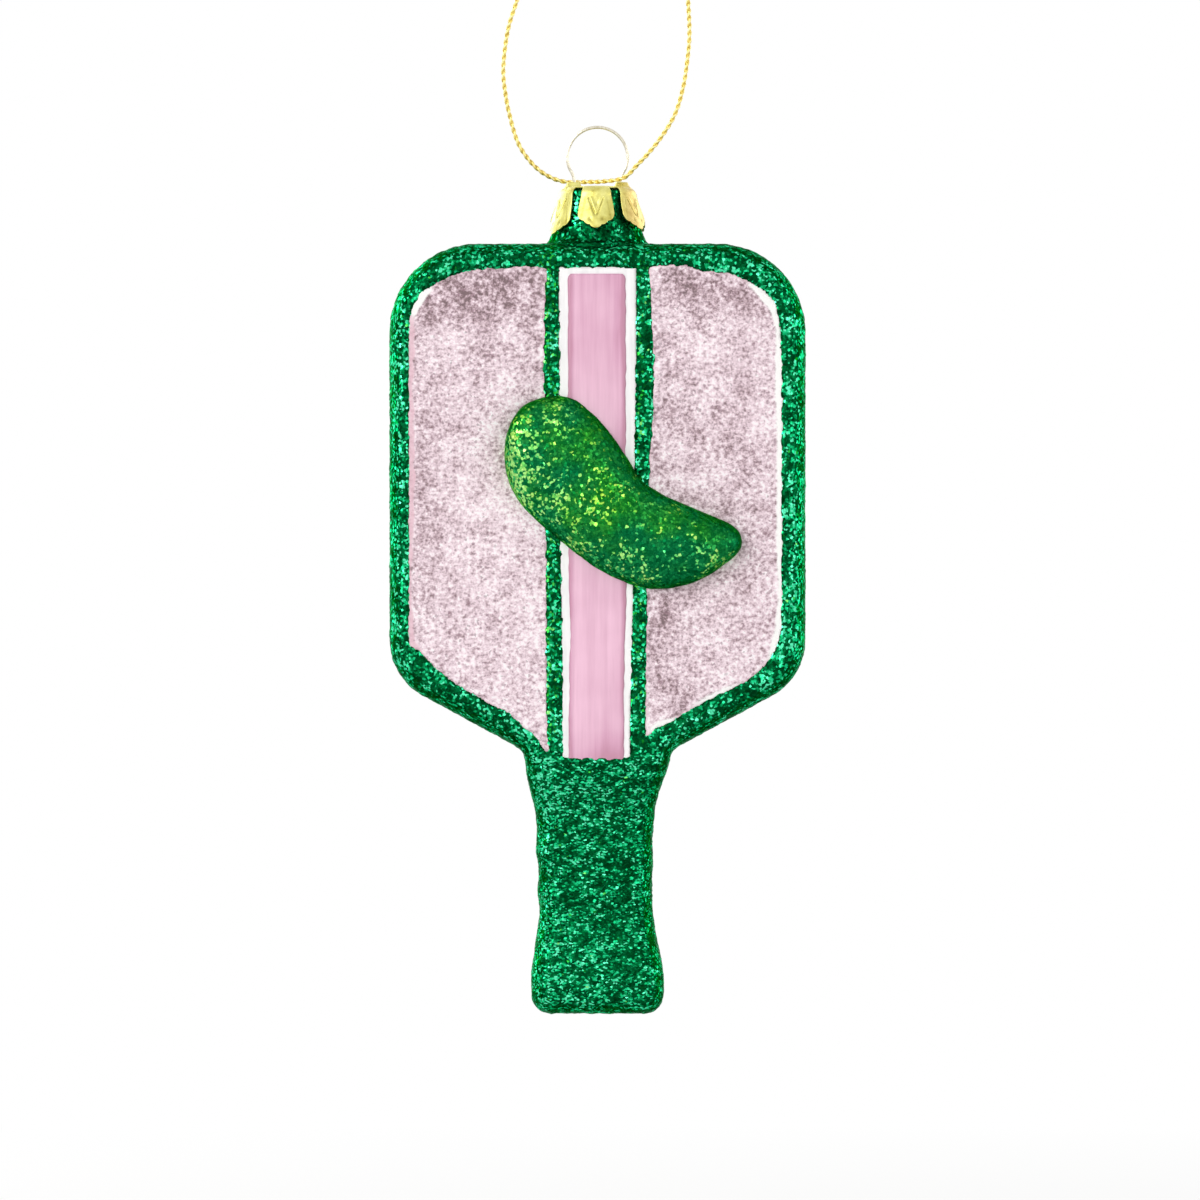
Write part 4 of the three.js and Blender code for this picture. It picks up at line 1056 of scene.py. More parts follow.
def face_places(piece, mirrored=1):
    """The x and the height in mm of a piece's vertices, x turned over for the back."""
    points = np.empty(len(piece.data.vertices) * 3)
    piece.data.vertices.foreach_get("co", points)
    points = points.reshape(-1, 3) * 1000
    return points[:, 0] * mirrored, points[:, 2] + HANGING_HEIGHT


def soft_spots(x, z, spots):
    """Sum of soft spots (x, height, half width, half height, strength): strength exp(-d^2).

    Here d is the distance from the spot's centre in its own half widths and half heights.
    """
    return sum(strength * np.exp(-(((x - at_x) / wide) ** 2 + ((z - at_z) / high) ** 2))
               for at_x, at_z, wide, high, strength in spots)


# %% [markdown]
# ## Glitter
# Polyester glitter is cut metallised film: tiny flat flakes that lie at all angles in the
# glue. Each catches the lamps on its own, so one is bright mint and the next nearly black.
# The cells of a cell pattern stand for the flakes: each has its own random numbers, which
# choose its shade and lean it, and a dark line of glue runs round it. That shade, from nearly
# black to bright mint, is painted glint and painted shade, on top of the glints that the lean
# gives under the lamps. Real flakes are about 0.2 mm wide. They are drawn 0.34 mm wide here,
# and 0.37 mm on the pickle, so that they still show in a picture of the whole ornament. Rolled
# on round the handle they lie flatter, so there the pattern is squeezed. Film has no clear
# gloss over its metal, so the plain specular level is nought.

# %% Flakes
FLAKE_METAL = {"Metallic": 0.8, "Roughness": 0.3, "Specular IOR Level": 0.0}


def flakes(tree, shader, spot, cell_mm, lean):
    """Squeezed place, random numbers and dark gap of a pattern of flakes that lean at random.

    The height is z + 0.5 min(z - throat, 0), and a flake's direction is the surface's plus
    lean times (random colour - 0.5).
    """
    x, y, z = add(tree, "SeparateXYZ", {"Vector": spot}).outputs
    under = add(tree, "Math", (z, level_of(THROAT_HEIGHT)), operation="SUBTRACT")
    below = add(tree, "Math", (under, 0.0), operation="MINIMUM")
    height = add(tree, "Math", (below, 0.5, z), operation="MULTIPLY_ADD")
    squeezed = add(tree, "CombineXYZ", (x, y, height))
    scale = 1000 / cell_mm
    cells = add(tree, "TexVoronoi", {"Vector": squeezed, "Scale": scale}).outputs["Color"]
    gap = add(tree, "TexVoronoi", {"Vector": squeezed, "Scale": scale}, feature="DISTANCE_TO_EDGE")
    dark = add(tree, "MapRange", {"Value": gap, "From Max": 0.1, "To Min": 0.5, "To Max": 1.0})
    centred = add(tree, "VectorMath", (cells, (0.5, 0.5, 0.5)), operation="SUBTRACT")
    leaning = add(tree, "VectorMath", {0: centred, "Scale": lean}, operation="SCALE")
    facing = add(tree, "NewGeometry").outputs["Normal"]
    total = add(tree, "VectorMath", (facing, leaning), operation="ADD")
    feed(tree, shader, Normal=add(tree, "VectorMath", {0: total}, operation="NORMALIZE"))
    return squeezed, add(tree, "SeparateColor", {"Color": cells}).outputs, dark


# %% [markdown]
# The emerald glitter is painted a little paler at the outer edge as a sheen, and on the handle
# it is painted paler on the left and darker on the right, as the light from the upper left
# falls; the neck is painted darker as the shade under the cap. Two soft spots on the handle
# shift it a little. On the two ridge lines a few flakes are leaf green, most of them on the
# left one. Each vertex stores this painted light and the chance of a leaf green one.

# %% Painted light and leaf green strays
HANDLE_SPOTS = [(0, 33, 12, 6, 0.05), (0, 22, 12, 6, -0.04)]
HANDLE_SHADE_TOP = 36
LEFT_RIDGE_X = -7.0
RIGHT_RIDGE_X = 5.8

for piece in (rim, front_glitter, back_glitter):
    x, z = face_places(piece)
    # Painted light: paler as a sheen at the outer edge and on the handle's left, darker as shade
    # on its right and on the neck.
    across = np.clip(x / 8, -1, 0.6) * (z < HANDLE_SHADE_TOP)
    paler = 0.03 + 0.07 * ease(np.abs(x), 25.5, 27.5) + soft_spots(x, z, HANDLE_SPOTS)
    set_numbers(piece, "bright", paler - 0.12 * ease(z, 107.5, 109.5) - 0.07 * across)
    on_ridges = 0.4 * ridge(x - LEFT_RIDGE_X, 1.2) + 0.15 * ridge(x - RIGHT_RIDGE_X, 0.8)
    set_numbers(piece, "leafy", on_ridges * ease(z, 37, 40) * (1 - ease(z, 107, 109)))

# %% Emerald glitter
tree, shader, spot = new_finish("polyester_glitter_emerald", [rim, front_glitter, back_glitter],
                                {**FLAKE_METAL, "Specular Tint": colour("#4fb389")})
spot, random, gap = flakes(tree, shader, spot, cell_mm=0.34, lean=0.6)
heaps = add(tree, "TexNoise", {"Vector": spot, "Scale": 1000 / 1.8, "Detail": 1.0})
shift = add(tree, "Math", (heaps, 1.1, -0.6), operation="MULTIPLY_ADD")
flake = add(tree, "Math", (random["Red"], shift), operation="ADD")
bright = add(tree, "Attribute", attribute_name="bright").outputs["Fac"]
level = add(tree, "Math", (flake, bright), operation="ADD", use_clamp=True)
# Each cell's shade, from nearly black to bright mint, is painted glint and painted shade.
film = add(tree, "ValToRGB", {"Fac": level}, stops=[
    (0.0, "#003818"), (0.4, "#005027"), (0.62, "#056b39"), (0.73, "#0ea561"), (0.86, "#22dc92"),
    (1.0, "#5ef6bc")])
leaf_film = add(tree, "ValToRGB", {"Fac": level}, stops=[
    (0.0, "#00401a"), (0.45, "#08601e"), (0.64, "#14882c"), (0.76, "#26b63c"), (0.9, "#4cd85a"),
    (1.0, "#8af07c")])
leafy = add(tree, "Attribute", attribute_name="leafy").outputs["Fac"]
chance = add(tree, "Math", (random["Green"], leafy), operation="ADD")
stray = add(tree, "Math", (chance, 0.993), operation="GREATER_THAN")
mixed = add(tree, "Mix", {"Factor": stray, 6: film, 7: leaf_film}, data_type="RGBA")
shaded = add(tree, "VectorMath", (mixed.outputs[2], gap), operation="MULTIPLY")
feed(tree, shader, Base_Color=shaded)

# %% [markdown]
# The pickle's glitter is coarser and mixed: a teal and a leaf green film in soft zones, and
# pale yellow-green flakes that lie in clumps. The clumps are painted thickest and brightest at
# the blunt end and down the left edge, where the light from the upper left falls, so they are
# partly painted glints. The flakes are painted paler along its edges, against the shade that
# falls there. How thick the clumps and glints lie is stored for each vertex, and so is how
# much of the green is leaf green, and the painted light along the edges.

# %% Clumps, painted glints and painted edge light on the pickle
SPARKLE_SPOTS = [
    (-12.0, 76.4, 2.5, 4.8, 2.4), (-9.8, 83.2, 2.6, 2.4, 0.25), (-5.2, 82.5, 2.2, 3.0, 0.4),
    (-10.9, 73.6, 2.0, 2.6, 1.1), (-7.2, 70.6, 2.0, 1.6, 0.25), (-2.0, 65.2, 2.0, 1.6, 0.4),
    (-5.6, 73.0, 2.0, 3.2, 0.6), (-8.5, 74.5, 1.6, 2.4, 0.35), (0.2, 73.8, 2.0, 3.2, 0.5),
    (-0.4, 70.2, 3.0, 1.8, 0.65), (4.4, 64.2, 3.2, 2.0, 0.5), (-3.3, 66.4, 1.8, 1.8, 0.45),
    (4.3, 72.6, 1.3, 2.0, 0.4), (12.9, 65.2, 1.5, 1.5, 0.45), (17.3, 64.0, 2.4, 1.4, 0.75),
    (13.8, 61.6, 1.4, 0.7, 0.6), (6.5, 61.3, 2.4, 0.9, 0.5), (8.5, 68.5, 3.0, 1.5, 0.1)]
PALE_EDGE_SPOTS = [
    (-12.6, 77.0, 2.2, 5.5, 1.5), (-11.5, 72.5, 2.5, 2.5, 0.8), (-8.0, 69.5, 3.0, 2.2, 0.7),
    (-3.5, 65.3, 3.0, 2.2, 1.0), (1.0, 62.5, 3.0, 1.8, 1.1), (6.0, 60.6, 3.0, 1.4, 0.8),
    (17.0, 63.5, 3.0, 1.6, 1.0), (-6.5, 85.4, 3.5, 1.5, 1.0), (11.5, 71.2, 4.0, 1.2, 0.8)]
LEAF_GREEN_SPOTS = [
    (-8.0, 82.0, 6.0, 5.0, 0.7), (0.0, 79.0, 3.0, 6.0, 0.7), (-1.0, 70.5, 4.5, 4.0, 0.85),
    (4.5, 73.0, 2.5, 3.0, 0.6), (8.0, 70.0, 4.0, 2.5, 0.6), (14.5, 68.0, 4.0, 2.0, 0.8),
    (-12.4, 77.0, 2.0, 5.0, -0.3)]

x, z = face_places(pickle)
set_numbers(pickle, "sparkle", 0.24 + 1.25 * soft_spots(x, z, SPARKLE_SPOTS))
set_numbers(pickle, "leaf_green", soft_spots(x, z, LEAF_GREEN_SPOTS))
set_numbers(pickle, "bright", 0.17 * soft_spots(x, z, PALE_EDGE_SPOTS))

# %% Yellow-green glitter
tree, shader, spot = new_finish("polyester_glitter_yellow_green", [pickle],
                                {**FLAKE_METAL, "Specular Tint": colour("#7fc36a")})
spot, random, gap = flakes(tree, shader, spot, cell_mm=0.37, lean=0.5)
clumps = add(tree, "TexNoise", {"Vector": spot, "Scale": 1000 / 1.0, "Detail": 2.0})
zones = add(tree, "TexNoise", {"Vector": spot, "Scale": 1000 / 3.5, "Detail": 2.0})
here = add(tree, "MapRange", {"Value": clumps, "From Min": 0.34, "From Max": 0.66})
sparkle = add(tree, "Attribute", attribute_name="sparkle").outputs["Fac"]
share = add(tree, "Math", (sparkle, here), operation="MULTIPLY", use_clamp=True)
# The brightest flakes in the clumps are painted glints.
over = add(tree, "Math", (share, 0.66, random["Green"]), operation="MULTIPLY_ADD")
lit = add(tree, "MapRange", {"Value": over, "From Min": 1.0, "From Max": 1.14, "To Max": 0.56})
bright = add(tree, "Attribute", attribute_name="bright").outputs["Fac"]
flake = add(tree, "Math", (random["Red"], 0.44, lit), operation="MULTIPLY_ADD")
level = add(tree, "Math", (flake, bright), operation="ADD")
teal = add(tree, "ValToRGB", {"Fac": level}, stops=[
    (0.0, "#02592e"), (0.25, "#086d3c"), (0.44, "#158648"), (0.58, "#44cc70"), (0.74, "#80f07c"),
    (1.0, "#b8ff90")])
leaf = add(tree, "ValToRGB", {"Fac": level}, stops=[
    (0.0, "#0a641e"), (0.25, "#1a8226"), (0.44, "#36a032"), (0.58, "#70d83a"), (0.74, "#a4f246"),
    (1.0, "#d2fc68")])
leafy = add(tree, "Attribute", attribute_name="leaf_green").outputs["Fac"]
patchy = add(tree, "Math", (zones, 2.0, -1.0), operation="MULTIPLY_ADD")
blend = add(tree, "Math", (leafy, patchy), operation="ADD", use_clamp=True)
mixed = add(tree, "Mix", {"Factor": blend, 6: teal, 7: leaf}, data_type="RGBA")
shaded = add(tree, "VectorMath", (mixed.outputs[2], gap), operation="MULTIPLY")
feed(tree, shader, Base_Color=shaded)

# %% [markdown]
# ## Dusted pink paint
# The panels are matt pink paint with fine silver glitter pressed into it. Seen close it is a
# field of pinkish white with short darker specks. Silver dust is about 0.1 mm; its specks are
# drawn half a millimetre wide, so that they show. Brownish grey blots are painted in: along the
# top, under the raised rim, and a little over the whole right panel they are painted shade,
# and in other patches they darken the paint. Along parts of the border the dust is missing,
# which leaves a line of bare paint, white or rosy. Three numbers are stored for each vertex:
# how much painted shade and blotting it has, how far inside the bare line the place lies, in
# mm, and how white that line is.

# %% Painted shade, blots and bare lines of the panels
def panel_numbers(piece, window, thin_spots, line_spots, mirrored=1):
    """Stores thin, line and white; a line spot has a sixth value, 1 where the line is white.

    The line's number is its width in mm, which wavers by a quarter, plus the distance to the
    window's border, which is negative inside it.
    """
    x, z = face_places(piece, mirrored)
    whites = [values[:5] for values in line_spots if values[5]]
    width = soft_spots(x, z, [values[:5] for values in line_spots]) - 0.2
    waver = 1 + 0.25 * lumps(field_points(x, z, 0), 2.5, 71)
    set_numbers(piece, "thin", np.minimum(soft_spots(x, z, thin_spots), 1))
    set_numbers(piece, "line", width * waver + distance_to(window, x, z))
    set_numbers(piece, "white", np.clip(1.6 * soft_spots(x, z, whites), 0, 1))


LEFT_THIN = [(-22.6, 99.8, 2.0, 2.6, 1.0), (-20.5, 101.8, 2.4, 2.2, 0.9),
             (-17.2, 102.4, 3, 2.4, 1.0), (-13.8, 102.6, 2.6, 2.4, 1.0),
             (-10.8, 102.4, 2.4, 2.2, 0.8), (-12.5, 99.4, 2.6, 2.6, 0.7),
             (-16.2, 98.4, 2.0, 3.2, 0.8), (-19.5, 98.2, 2.4, 2.4, 0.55), (-8.9, 98, 1.5, 5, 0.5),
             (-16.2, 93.6, 1.2, 2.6, 0.65), (-25.3, 94, 1, 5, 0.5), (-9, 91, 1.4, 4, 0.35),
             (-17.5, 88.5, 1, 2, 0.45), (-9.4, 86, 1.3, 4, 0.35), (-24.5, 58, 1.6, 6, 0.4),
             (-24.6, 79, 1.6, 6, 0.5), (-23, 67.5, 3, 5, 0.6), (-23.5, 97, 1.5, 3, 0.4)]
RIGHT_THIN = [(19.5, 100.5, 5, 2.6, 0.65), (12, 100.5, 4, 2.8, 0.45), (15, 97.5, 3, 2, 0.3),
              (9.2, 93, 1.2, 5, 0.5), (20.5, 88, 2, 2.5, 0.4), (9, 84.5, 1.0, 2.5, 0.75),
              (13, 82, 5, 4, 0.25), (20, 77, 4, 5, 0.25), (15, 71.3, 5, 1.6, 0.6),
              (23, 66, 2.5, 4, 0.4), (9.5, 57.5, 2.5, 2.5, 0.75), (8, 51, 1.2, 5, 0.5),
              (10.5, 44.5, 3, 2.6, 0.8), (11, 102, 5, 3, 0.45), (11, 54, 3, 4, 0.3),
              (11.5, 82, 3, 4, 0.25), (16, 75, 12, 30, 0.1)]
LEFT_LINE = [(-25.0, 100.2, 2.0, 2.3, 1.3, 1), (-26.2, 78, 1.8, 18, 2.05, 0),
             (-26.2, 55, 1.6, 5, 1.0, 0), (-26.2, 95, 2, 4, 1.0, 0)]
RIGHT_LINE = [(24.0, 100.6, 3.2, 2.6, 1.35, 1), (25.6, 90, 2, 9, 0.95, 1),
              (25.6, 70, 2, 13, 0.8, 1), (24.8, 53, 2, 4, 0.8, 1), (17, 44.8, 7, 2.5, 0.6, 1),
              (9, 40.6, 2.5, 1.5, 0.8, 1)]
panel_numbers(left_panel, LEFT_WINDOW, LEFT_THIN, LEFT_LINE)
panel_numbers(right_panel, RIGHT_WINDOW, RIGHT_THIN, RIGHT_LINE)
panel_numbers(back_left, BACK_WINDOWS[1], RIGHT_THIN, RIGHT_LINE, mirrored=-1)
panel_numbers(back_right, BACK_WINDOWS[0], LEFT_THIN, LEFT_LINE, mirrored=-1)

# %% Specks, clouds and blots of the paint
tree, shader, spot = new_finish("matt_paint_pale_pink_silver_dust",
                                [left_panel, right_panel, back_left, back_right], {})
upright = add(tree, "Mapping", {"Vector": spot, "Scale": (1.0, 1.0, 0.55)})
flat = add(tree, "Mapping", {"Vector": spot, "Scale": (0.87, 1.0, 1.0)})
specks = add(tree, "TexNoise", {"Vector": flat, "Scale": 1000 / 0.55, "Detail": 2.0,
                                "Roughness": 0.75})
clouds = add(tree, "TexNoise", {"Vector": flat, "Scale": 1000 / 2.2, "Detail": 2.0})
blots = add(tree, "TexNoise", {"Vector": upright, "Scale": 1000 / 1.7, "Detail": 3.0,
                               "Roughness": 0.65})
cloud = add(tree, "Math", (clouds, 0.95, -0.86), operation="MULTIPLY_ADD")
even = add(tree, "Math", (specks, 2.15, cloud), operation="MULTIPLY_ADD")
blot = add(tree, "MapRange", {"Value": blots, "From Min": 0.32, "From Max": 0.68, "To Min": 0.1,
                              "To Max": 0.6})
thin = add(tree, "Attribute", attribute_name="thin").outputs["Fac"]
# Painted shade along the top of the panels and over the right one, and blots in patches, darken
# the paint here.
grey = add(tree, "Math", (thin, blot), operation="MULTIPLY")
level = add(tree, "Math", (even, grey), operation="SUBTRACT", use_clamp=True)
paint = add(tree, "ValToRGB", {"Fac": level}, stops=[
    (0.0, "#7a6367"), (0.2, "#a0868d"), (0.4, "#c6abb4"), (0.57, "#dfc8d1"), (0.73, "#f0dae2"),
    (0.88, "#fae8ef"), (1.0, "#fff7fa")])

# %% Bare line along the border, and dark and silver grains
grains = add(tree, "TexVoronoi", {"Vector": spot, "Scale": 1000 / 0.34})
grain = add(tree, "SeparateColor", {"Color": grains.outputs["Color"]})
dark_grain = add(tree, "MapRange", {"Value": grain.outputs["Red"], "From Min": 0.955,
                                    "From Max": 0.97, "To Max": 0.55})
dotted = add(tree, "Mix", {"Factor": dark_grain, 6: paint, 7: colour("#8d6a77")},
             data_type="RGBA").outputs[2]
line = add(tree, "Attribute", attribute_name="line").outputs["Fac"]
ragged = add(tree, "Math", (specks, 0.5, -0.25), operation="MULTIPLY_ADD")
edge = add(tree, "Math", (line, ragged), operation="ADD")
white = add(tree, "Attribute", attribute_name="white").outputs["Fac"]
line_paint = add(tree, "ValToRGB", {"Fac": white}, stops=[
    (0.0, "#e6bdc9"), (0.4, "#f0d4dc"), (0.75, "#fffdfb")])
soft = add(tree, "MapRange", {"Value": white, "To Min": 0.8, "To Max": 1.0})
cover = add(tree, "MapRange", {"Value": edge, "From Min": -0.25, "From Max": 0.15, "To Max": soft})
lined = add(tree, "Mix", {"Factor": cover, 6: dotted, 7: line_paint}, data_type="RGBA").outputs[2]
bump = add(tree, "Bump", {"Height": level, "Strength": 0.3, "Distance": 0.0001})
dull = add(tree, "MapRange", {"Value": grain.outputs["Green"], "To Min": 0.35, "To Max": 0.65})
feed(tree, shader, Base_Color=lined, Normal=bump, Roughness=dull)

# %% [markdown]
# ## Enamel and satin paint
# The white enamel is brushed on thick and shines softly. The pink stripe over it is satin
# paint drawn down with a flat brush: long streaks about a millimetre wide run along it, the
# left half is paler, and a deeper line follows each edge, where the paint pooled. It is also
# deeper at its foot and towards its top.

# %% White enamel
tree, shader, spot = new_finish("brushed_enamel_white", [upper_band, lower_band, back_band],
                                {"Roughness": 0.35})
strokes = add(tree, "Mapping", {"Vector": spot, "Scale": (1.0, 1.0, 0.12)})
wave = add(tree, "TexNoise", {"Vector": strokes, "Scale": 1000 / 0.8, "Detail": 3.0})
enamel = add(tree, "ValToRGB", {"Fac": wave}, stops=[
    (0.3, "#f4f2f2"), (0.55, "#fdfbfb"), (0.8, "#fffefe")])
bump = add(tree, "Bump", {"Height": wave, "Strength": 0.2, "Distance": 0.0001})
feed(tree, shader, Base_Color=enamel, Normal=bump)

# %% Pink satin paint
tree, shader, spot = new_finish("satin_paint_orchid_pink",
                                [upper_stripe, lower_stripe, back_stripe], {"Roughness": 0.42})
strokes = add(tree, "Mapping", {"Vector": spot, "Scale": (1.0, 1.0, 0.05)})
streaks = add(tree, "TexNoise", {"Vector": strokes, "Scale": 1000 / 1.3, "Detail": 4.0,
                                 "Roughness": 0.6})
pools = add(tree, "TexNoise", {"Vector": spot, "Scale": 1000 / 8, "Detail": 2.0})
across, _, height = add(tree, "SeparateXYZ", {"Vector": spot}).outputs
off_axis = add(tree, "Math", {0: across}, operation="ABSOLUTE")
tone = add(tree, "Math", (pools, 0.7, -0.35), operation="MULTIPLY_ADD")
tone = add(tree, "Math", (streaks, 1.1, tone), operation="MULTIPLY_ADD")
for value, start, end, from_tone, to_tone in (
        (off_axis, 0.0031, 0.0039, 0.1, -0.62),                       # the pooled edges
        (across, -0.0032, 0.001, 0.22, 0.0),                          # the paler left half
        (height, level_of(36.3), level_of(40.1), -0.35, 0.0),         # the deeper foot
        (height, level_of(82.6), level_of(97.6), 0.0, -0.28)):        # the deeper top
    change = add(tree, "MapRange", {"Value": value, "From Min": start, "From Max": end,
                                    "To Min": from_tone, "To Max": to_tone})
    tone = add(tree, "Math", (tone, change), operation="ADD")
satin = add(tree, "ValToRGB", {"Fac": tone}, stops=[
    (0.1, "#ca90a9"), (0.35, "#dca5c0"), (0.58, "#e8b7ce"), (0.85, "#f5c6dc")])
bump = add(tree, "Bump", {"Height": streaks, "Strength": 0.25, "Distance": 0.0001})
feed(tree, shader, Base_Color=satin, Normal=bump)

# %% [markdown]
# ## Metals and glass
# The cap is thin lacquered foil. It was pressed, so it has a soft orange-peel. The yellow
# lacquer stands darker in stains and looks warmer on the right, and in the grooves it is
# darker, partly as lacquer pooled there and partly as painted shade. The hanger is bright
# spring wire with fine drawing lines. The cord is metallised film wrapped round a core; its
# colour is painted brighter on the crests of its plies as a highlight and darker between them
# as shade. The glass is clear, and the coats hide it.

# %% Pale gold foil
groove_of_leaf = np.concatenate([np.clip(-palmette(*LEAF_GRID) / 0.1, 0, 1).ravel(),
                                 np.zeros(LEAF_GRID[0].size)])
grooves = np.zeros(len(cap.data.vertices))
grooves[:groove_of_leaf.size * LEAF_COUNT] = np.tile(groove_of_leaf, LEAF_COUNT)
set_numbers(cap, "groove", grooves)
set_numbers(cap, "warm", 0.6 * ease(face_places(cap)[0], 2.6, 5.0))
tree, shader, spot = new_finish("pressed_foil_pale_gold", [cap], {"Metallic": 1.0})
peel = add(tree, "TexNoise", {"Vector": spot, "Scale": 1000 / 0.6, "Detail": 3.0})
stain = add(tree, "TexNoise", {"Vector": spot, "Scale": 1000 / 1.4, "Detail": 4.0})
lacquer = add(tree, "ValToRGB", {"Fac": stain}, stops=[
    (0.28, "#a69a48"), (0.4, "#cbc26a"), (0.55, "#dad47e"), (0.7, "#e6e08e")])
warm = add(tree, "Attribute", attribute_name="warm").outputs["Fac"]
tinted = add(tree, "Mix", {"Factor": warm, 6: lacquer, 7: colour("#d9b776")},
             data_type="RGBA").outputs[2]
groove = add(tree, "Attribute", attribute_name="groove").outputs["Fac"]
# The grooves are painted darker, partly as lacquer pooled in them and partly as painted shade.
worn = add(tree, "Math", (groove, peel), operation="MULTIPLY")
deep = add(tree, "MapRange", {"Value": worn, "From Max": 0.5, "To Max": 0.7})
pressed = add(tree, "Mix", {"Factor": deep, 6: tinted, 7: colour("#857a30")},
              data_type="RGBA").outputs[2]
dull = add(tree, "MapRange", {"Value": peel, "To Min": 0.34, "To Max": 0.5})
bump = add(tree, "Bump", {"Height": peel, "Strength": 0.3, "Distance": 0.0001})
feed(tree, shader, Base_Color=pressed, Roughness=dull, Normal=bump)

# %% Drawn wire
tree, shader, spot = new_finish("spring_steel_drawn_bright", [wire], {"Metallic": 1.0})
draw = add(tree, "TexNoise", {"Vector": spot, "Scale": 1000 / 0.35, "Detail": 2.0})
steel = add(tree, "ValToRGB", {"Fac": draw}, stops=[(0.35, "#cbc4b0"), (0.65, "#e2dccb")])
dull = add(tree, "MapRange", {"Value": draw, "To Min": 0.22, "To Max": 0.42})
feed(tree, shader, Base_Color=steel, Roughness=dull)


# %% Lurex cord
def crest_of(lobes):
    """Crest for each vertex of closed tubes: the lobe from -1 to 1 as 0 to 1, poles at 0.5."""
    return np.concatenate([np.append((lobe.ravel() + 1) / 2, (0.5, 0.5)) for lobe in lobes])


set_numbers(cord, "crest", crest_of([cord_lobe]))
set_numbers(knot, "crest", crest_of([lobe for _, lobe in knot_tubes]))
tree, shader, spot = new_finish("lurex_yarn_gold", [cord, knot],
                                {"Metallic": 0.6, "Specular IOR Level": 0.3})
film = add(tree, "TexVoronoi", {"Vector": spot, "Scale": 1000 / 0.28})
glint = add(tree, "SeparateColor", {"Color": film.outputs["Color"]})
crest = add(tree, "Attribute", attribute_name="crest").outputs["Fac"]
part = add(tree, "Math", (glint, 0.35), operation="MULTIPLY")
# The crests of the plies are painted brighter as a highlight and the hollows between them darker
# as shade.
lit = add(tree, "Math", (crest, 0.7, part), operation="MULTIPLY_ADD", use_clamp=True)
yarn = add(tree, "ValToRGB", {"Fac": lit}, stops=[
    (0.05, "#ad8f3c"), (0.3, "#dabc56"), (0.6, "#ebd57c"), (1.0, "#f7ebac")])
dull = add(tree, "MapRange", {"Value": glint.outputs["Green"], "To Min": 0.3, "To Max": 0.55})
feed(tree, shader, Base_Color=yarn, Roughness=dull)

# %% Clear glass
tree, shader, spot = new_finish("blown_glass_clear", [], {"IOR": 1.5, "Transmission Weight": 1.0})
seeds = add(tree, "TexNoise", {"Vector": spot, "Scale": 1000 / 6, "Detail": 1.0})
tint = add(tree, "ValToRGB", {"Fac": seeds}, stops=[(0.3, "#e6efec"), (0.7, "#f4f9f7")])
dull = add(tree, "MapRange", {"Value": seeds, "To Min": 0.01, "To Max": 0.05})
feed(tree, shader, Base_Color=tint, Roughness=dull)
for material_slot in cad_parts["glass_body"].material_slots:
    material_slot.material = bpy.data.materials["blown_glass_clear"]

# %% [markdown]
# ## Studio
# The photograph is cut out on white. The ornament hangs over a plain pale floor. Two large
# soft lamps light its face, the stronger from the upper left, as the bright left rim and the
# glints on the pickle's left say, and two more light its back. Rays to the camera, from gloss
# and through glass see a white world; all other rays see a softer one, so that the white
# doesn't light the ornament.

# %% World
world = bpy.data.worlds.new("studio_white")
bpy.context.scene.world = world
world.use_nodes = True
tree = world.node_tree
tree.nodes.clear()
rays = add(tree, "LightPath").outputs
mirrored = add(tree, "Math", (rays["Is Glossy Ray"], rays["Is Transmission Ray"]),
               operation="MAXIMUM")
seen = add(tree, "Math", (rays["Is Camera Ray"], mirrored), operation="MAXIMUM")
soft_light = add(tree, "Background", {"Color": (1, 1, 1, 1), "Strength": 0.36})
white_back = add(tree, "Background", {"Color": (1, 1, 1, 1), "Strength": 1.0})
either = add(tree, "MixShader", (seen, soft_light, white_back))
add(tree, "OutputWorld", {"Surface": either})
bpy.context.scene.view_settings.view_transform = "Standard"


# %% Lamps
LAMP_SIZE = 0.8


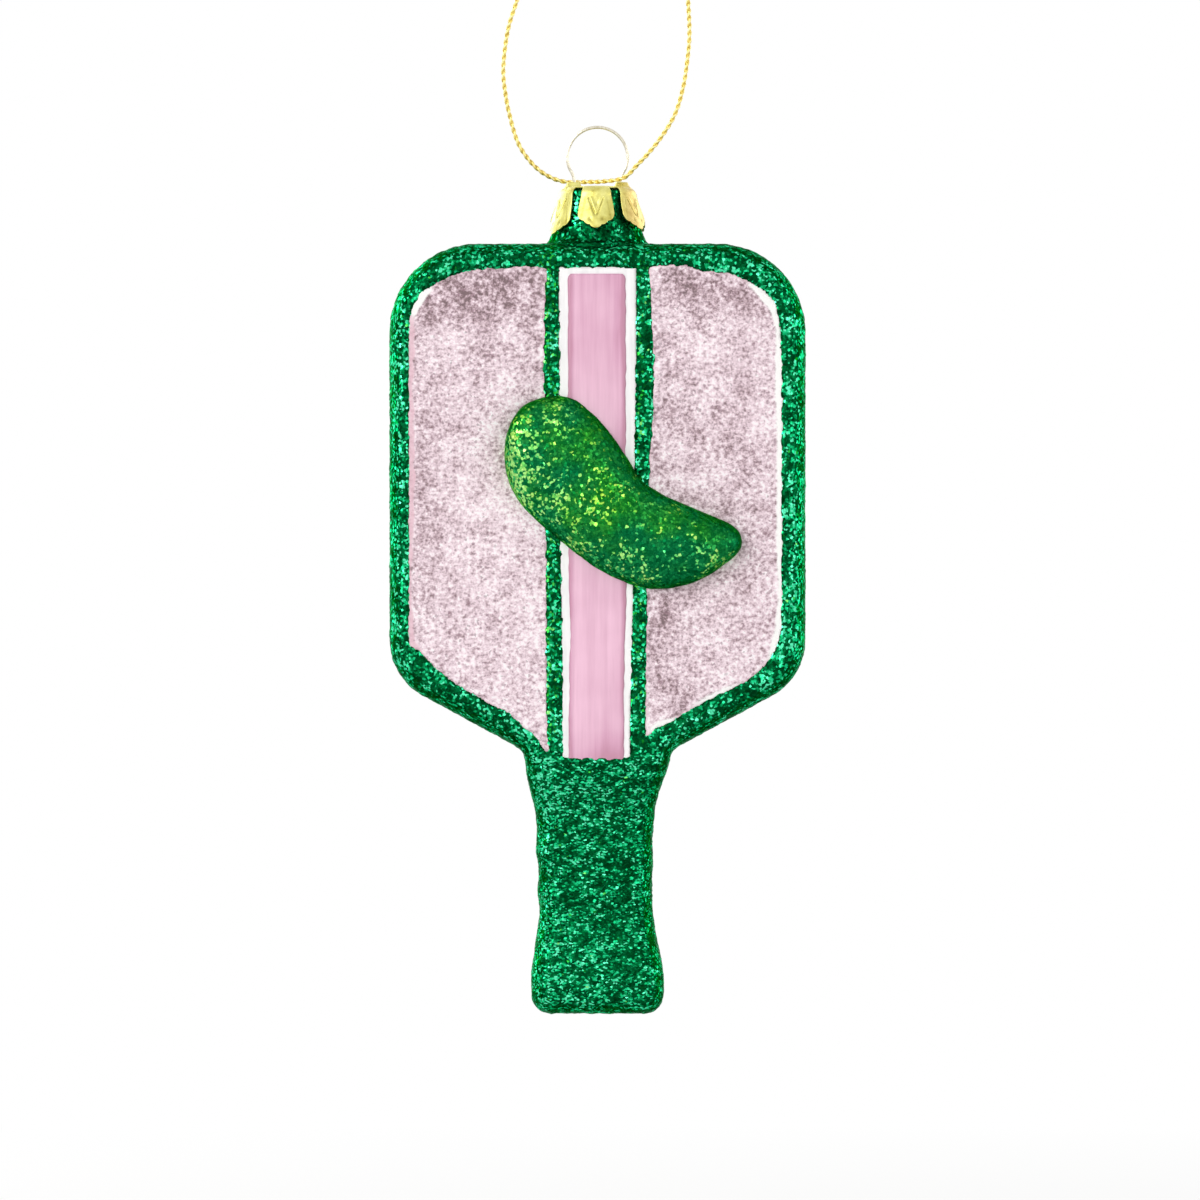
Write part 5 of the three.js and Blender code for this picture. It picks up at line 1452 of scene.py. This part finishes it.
def soft_lamp(name, location, radiance):
    """Square area lamp that faces the ornament; its power is radiance x pi x size^2."""
    data = bpy.data.lights.new(name, "AREA")
    data.size = LAMP_SIZE
    data.energy = radiance * math.pi * LAMP_SIZE ** 2
    lamp = bpy.data.objects.new(name, data)
    lamp.location = location
    aim = np.array(FRAME_CENTRE) - np.array(location)
    tilt = math.atan2(math.hypot(aim[0], aim[1]), -aim[2])
    lamp.rotation_euler = (tilt, 0, math.atan2(aim[1], aim[0]) - math.pi / 2)
    bpy.context.scene.collection.objects.link(lamp)


soft_lamp("key_upper_left", (-0.75, -0.9, 0.4), 4.4)
soft_lamp("fill_right", (0.95, -0.8, 0.0), 1.7)
soft_lamp("back_left", (-0.7, 0.9, 0.3), 3.6)
soft_lamp("back_right", (0.9, 0.8, 0.1), 1.7)

# %% [markdown]
# The floor is white paper. Near the ornament it keeps the shadow, and farther out it fades
# into the white of the background, for the camera and for gloss only.

# %% Floor
FLOOR_HEIGHT = -0.262
FLOOR_REACH = 2.0

floor_points = [(x * FLOOR_REACH, y * FLOOR_REACH, FLOOR_HEIGHT)
                for x, y in ((-1, -1), (1, -1), (1, 1), (-1, 1))]
floor_mesh = bpy.data.meshes.new("floor")
floor_mesh.from_pydata(floor_points, [], [(0, 1, 2, 3)])
floor = bpy.data.objects.new("floor", floor_mesh)
bpy.context.scene.collection.objects.link(floor)
tree, shader, spot = new_finish("floor_white_paper", [floor],
                                {"Roughness": 0.9, "Base Color": colour("#f4f4f2")})
surface = shader.outputs[0].links[0].to_socket
glow = add(tree, "Emission", {"Color": (1, 1, 1, 1), "Strength": 1.0})
far = add(tree, "VectorMath", {0: spot}, operation="LENGTH").outputs["Value"]
fade = add(tree, "MapRange", {"Value": far, "From Min": 0.35, "From Max": 0.9, "To Min": 0.45})
rays = add(tree, "LightPath").outputs
shown = add(tree, "Math", (rays["Is Camera Ray"], rays["Is Glossy Ray"]),
            operation="MAXIMUM")
share = add(tree, "Math", (fade, shown), operation="MULTIPLY")
blended = add(tree, "MixShader", (share, shader, glow))
tree.links.new(blended.outputs[0], surface)
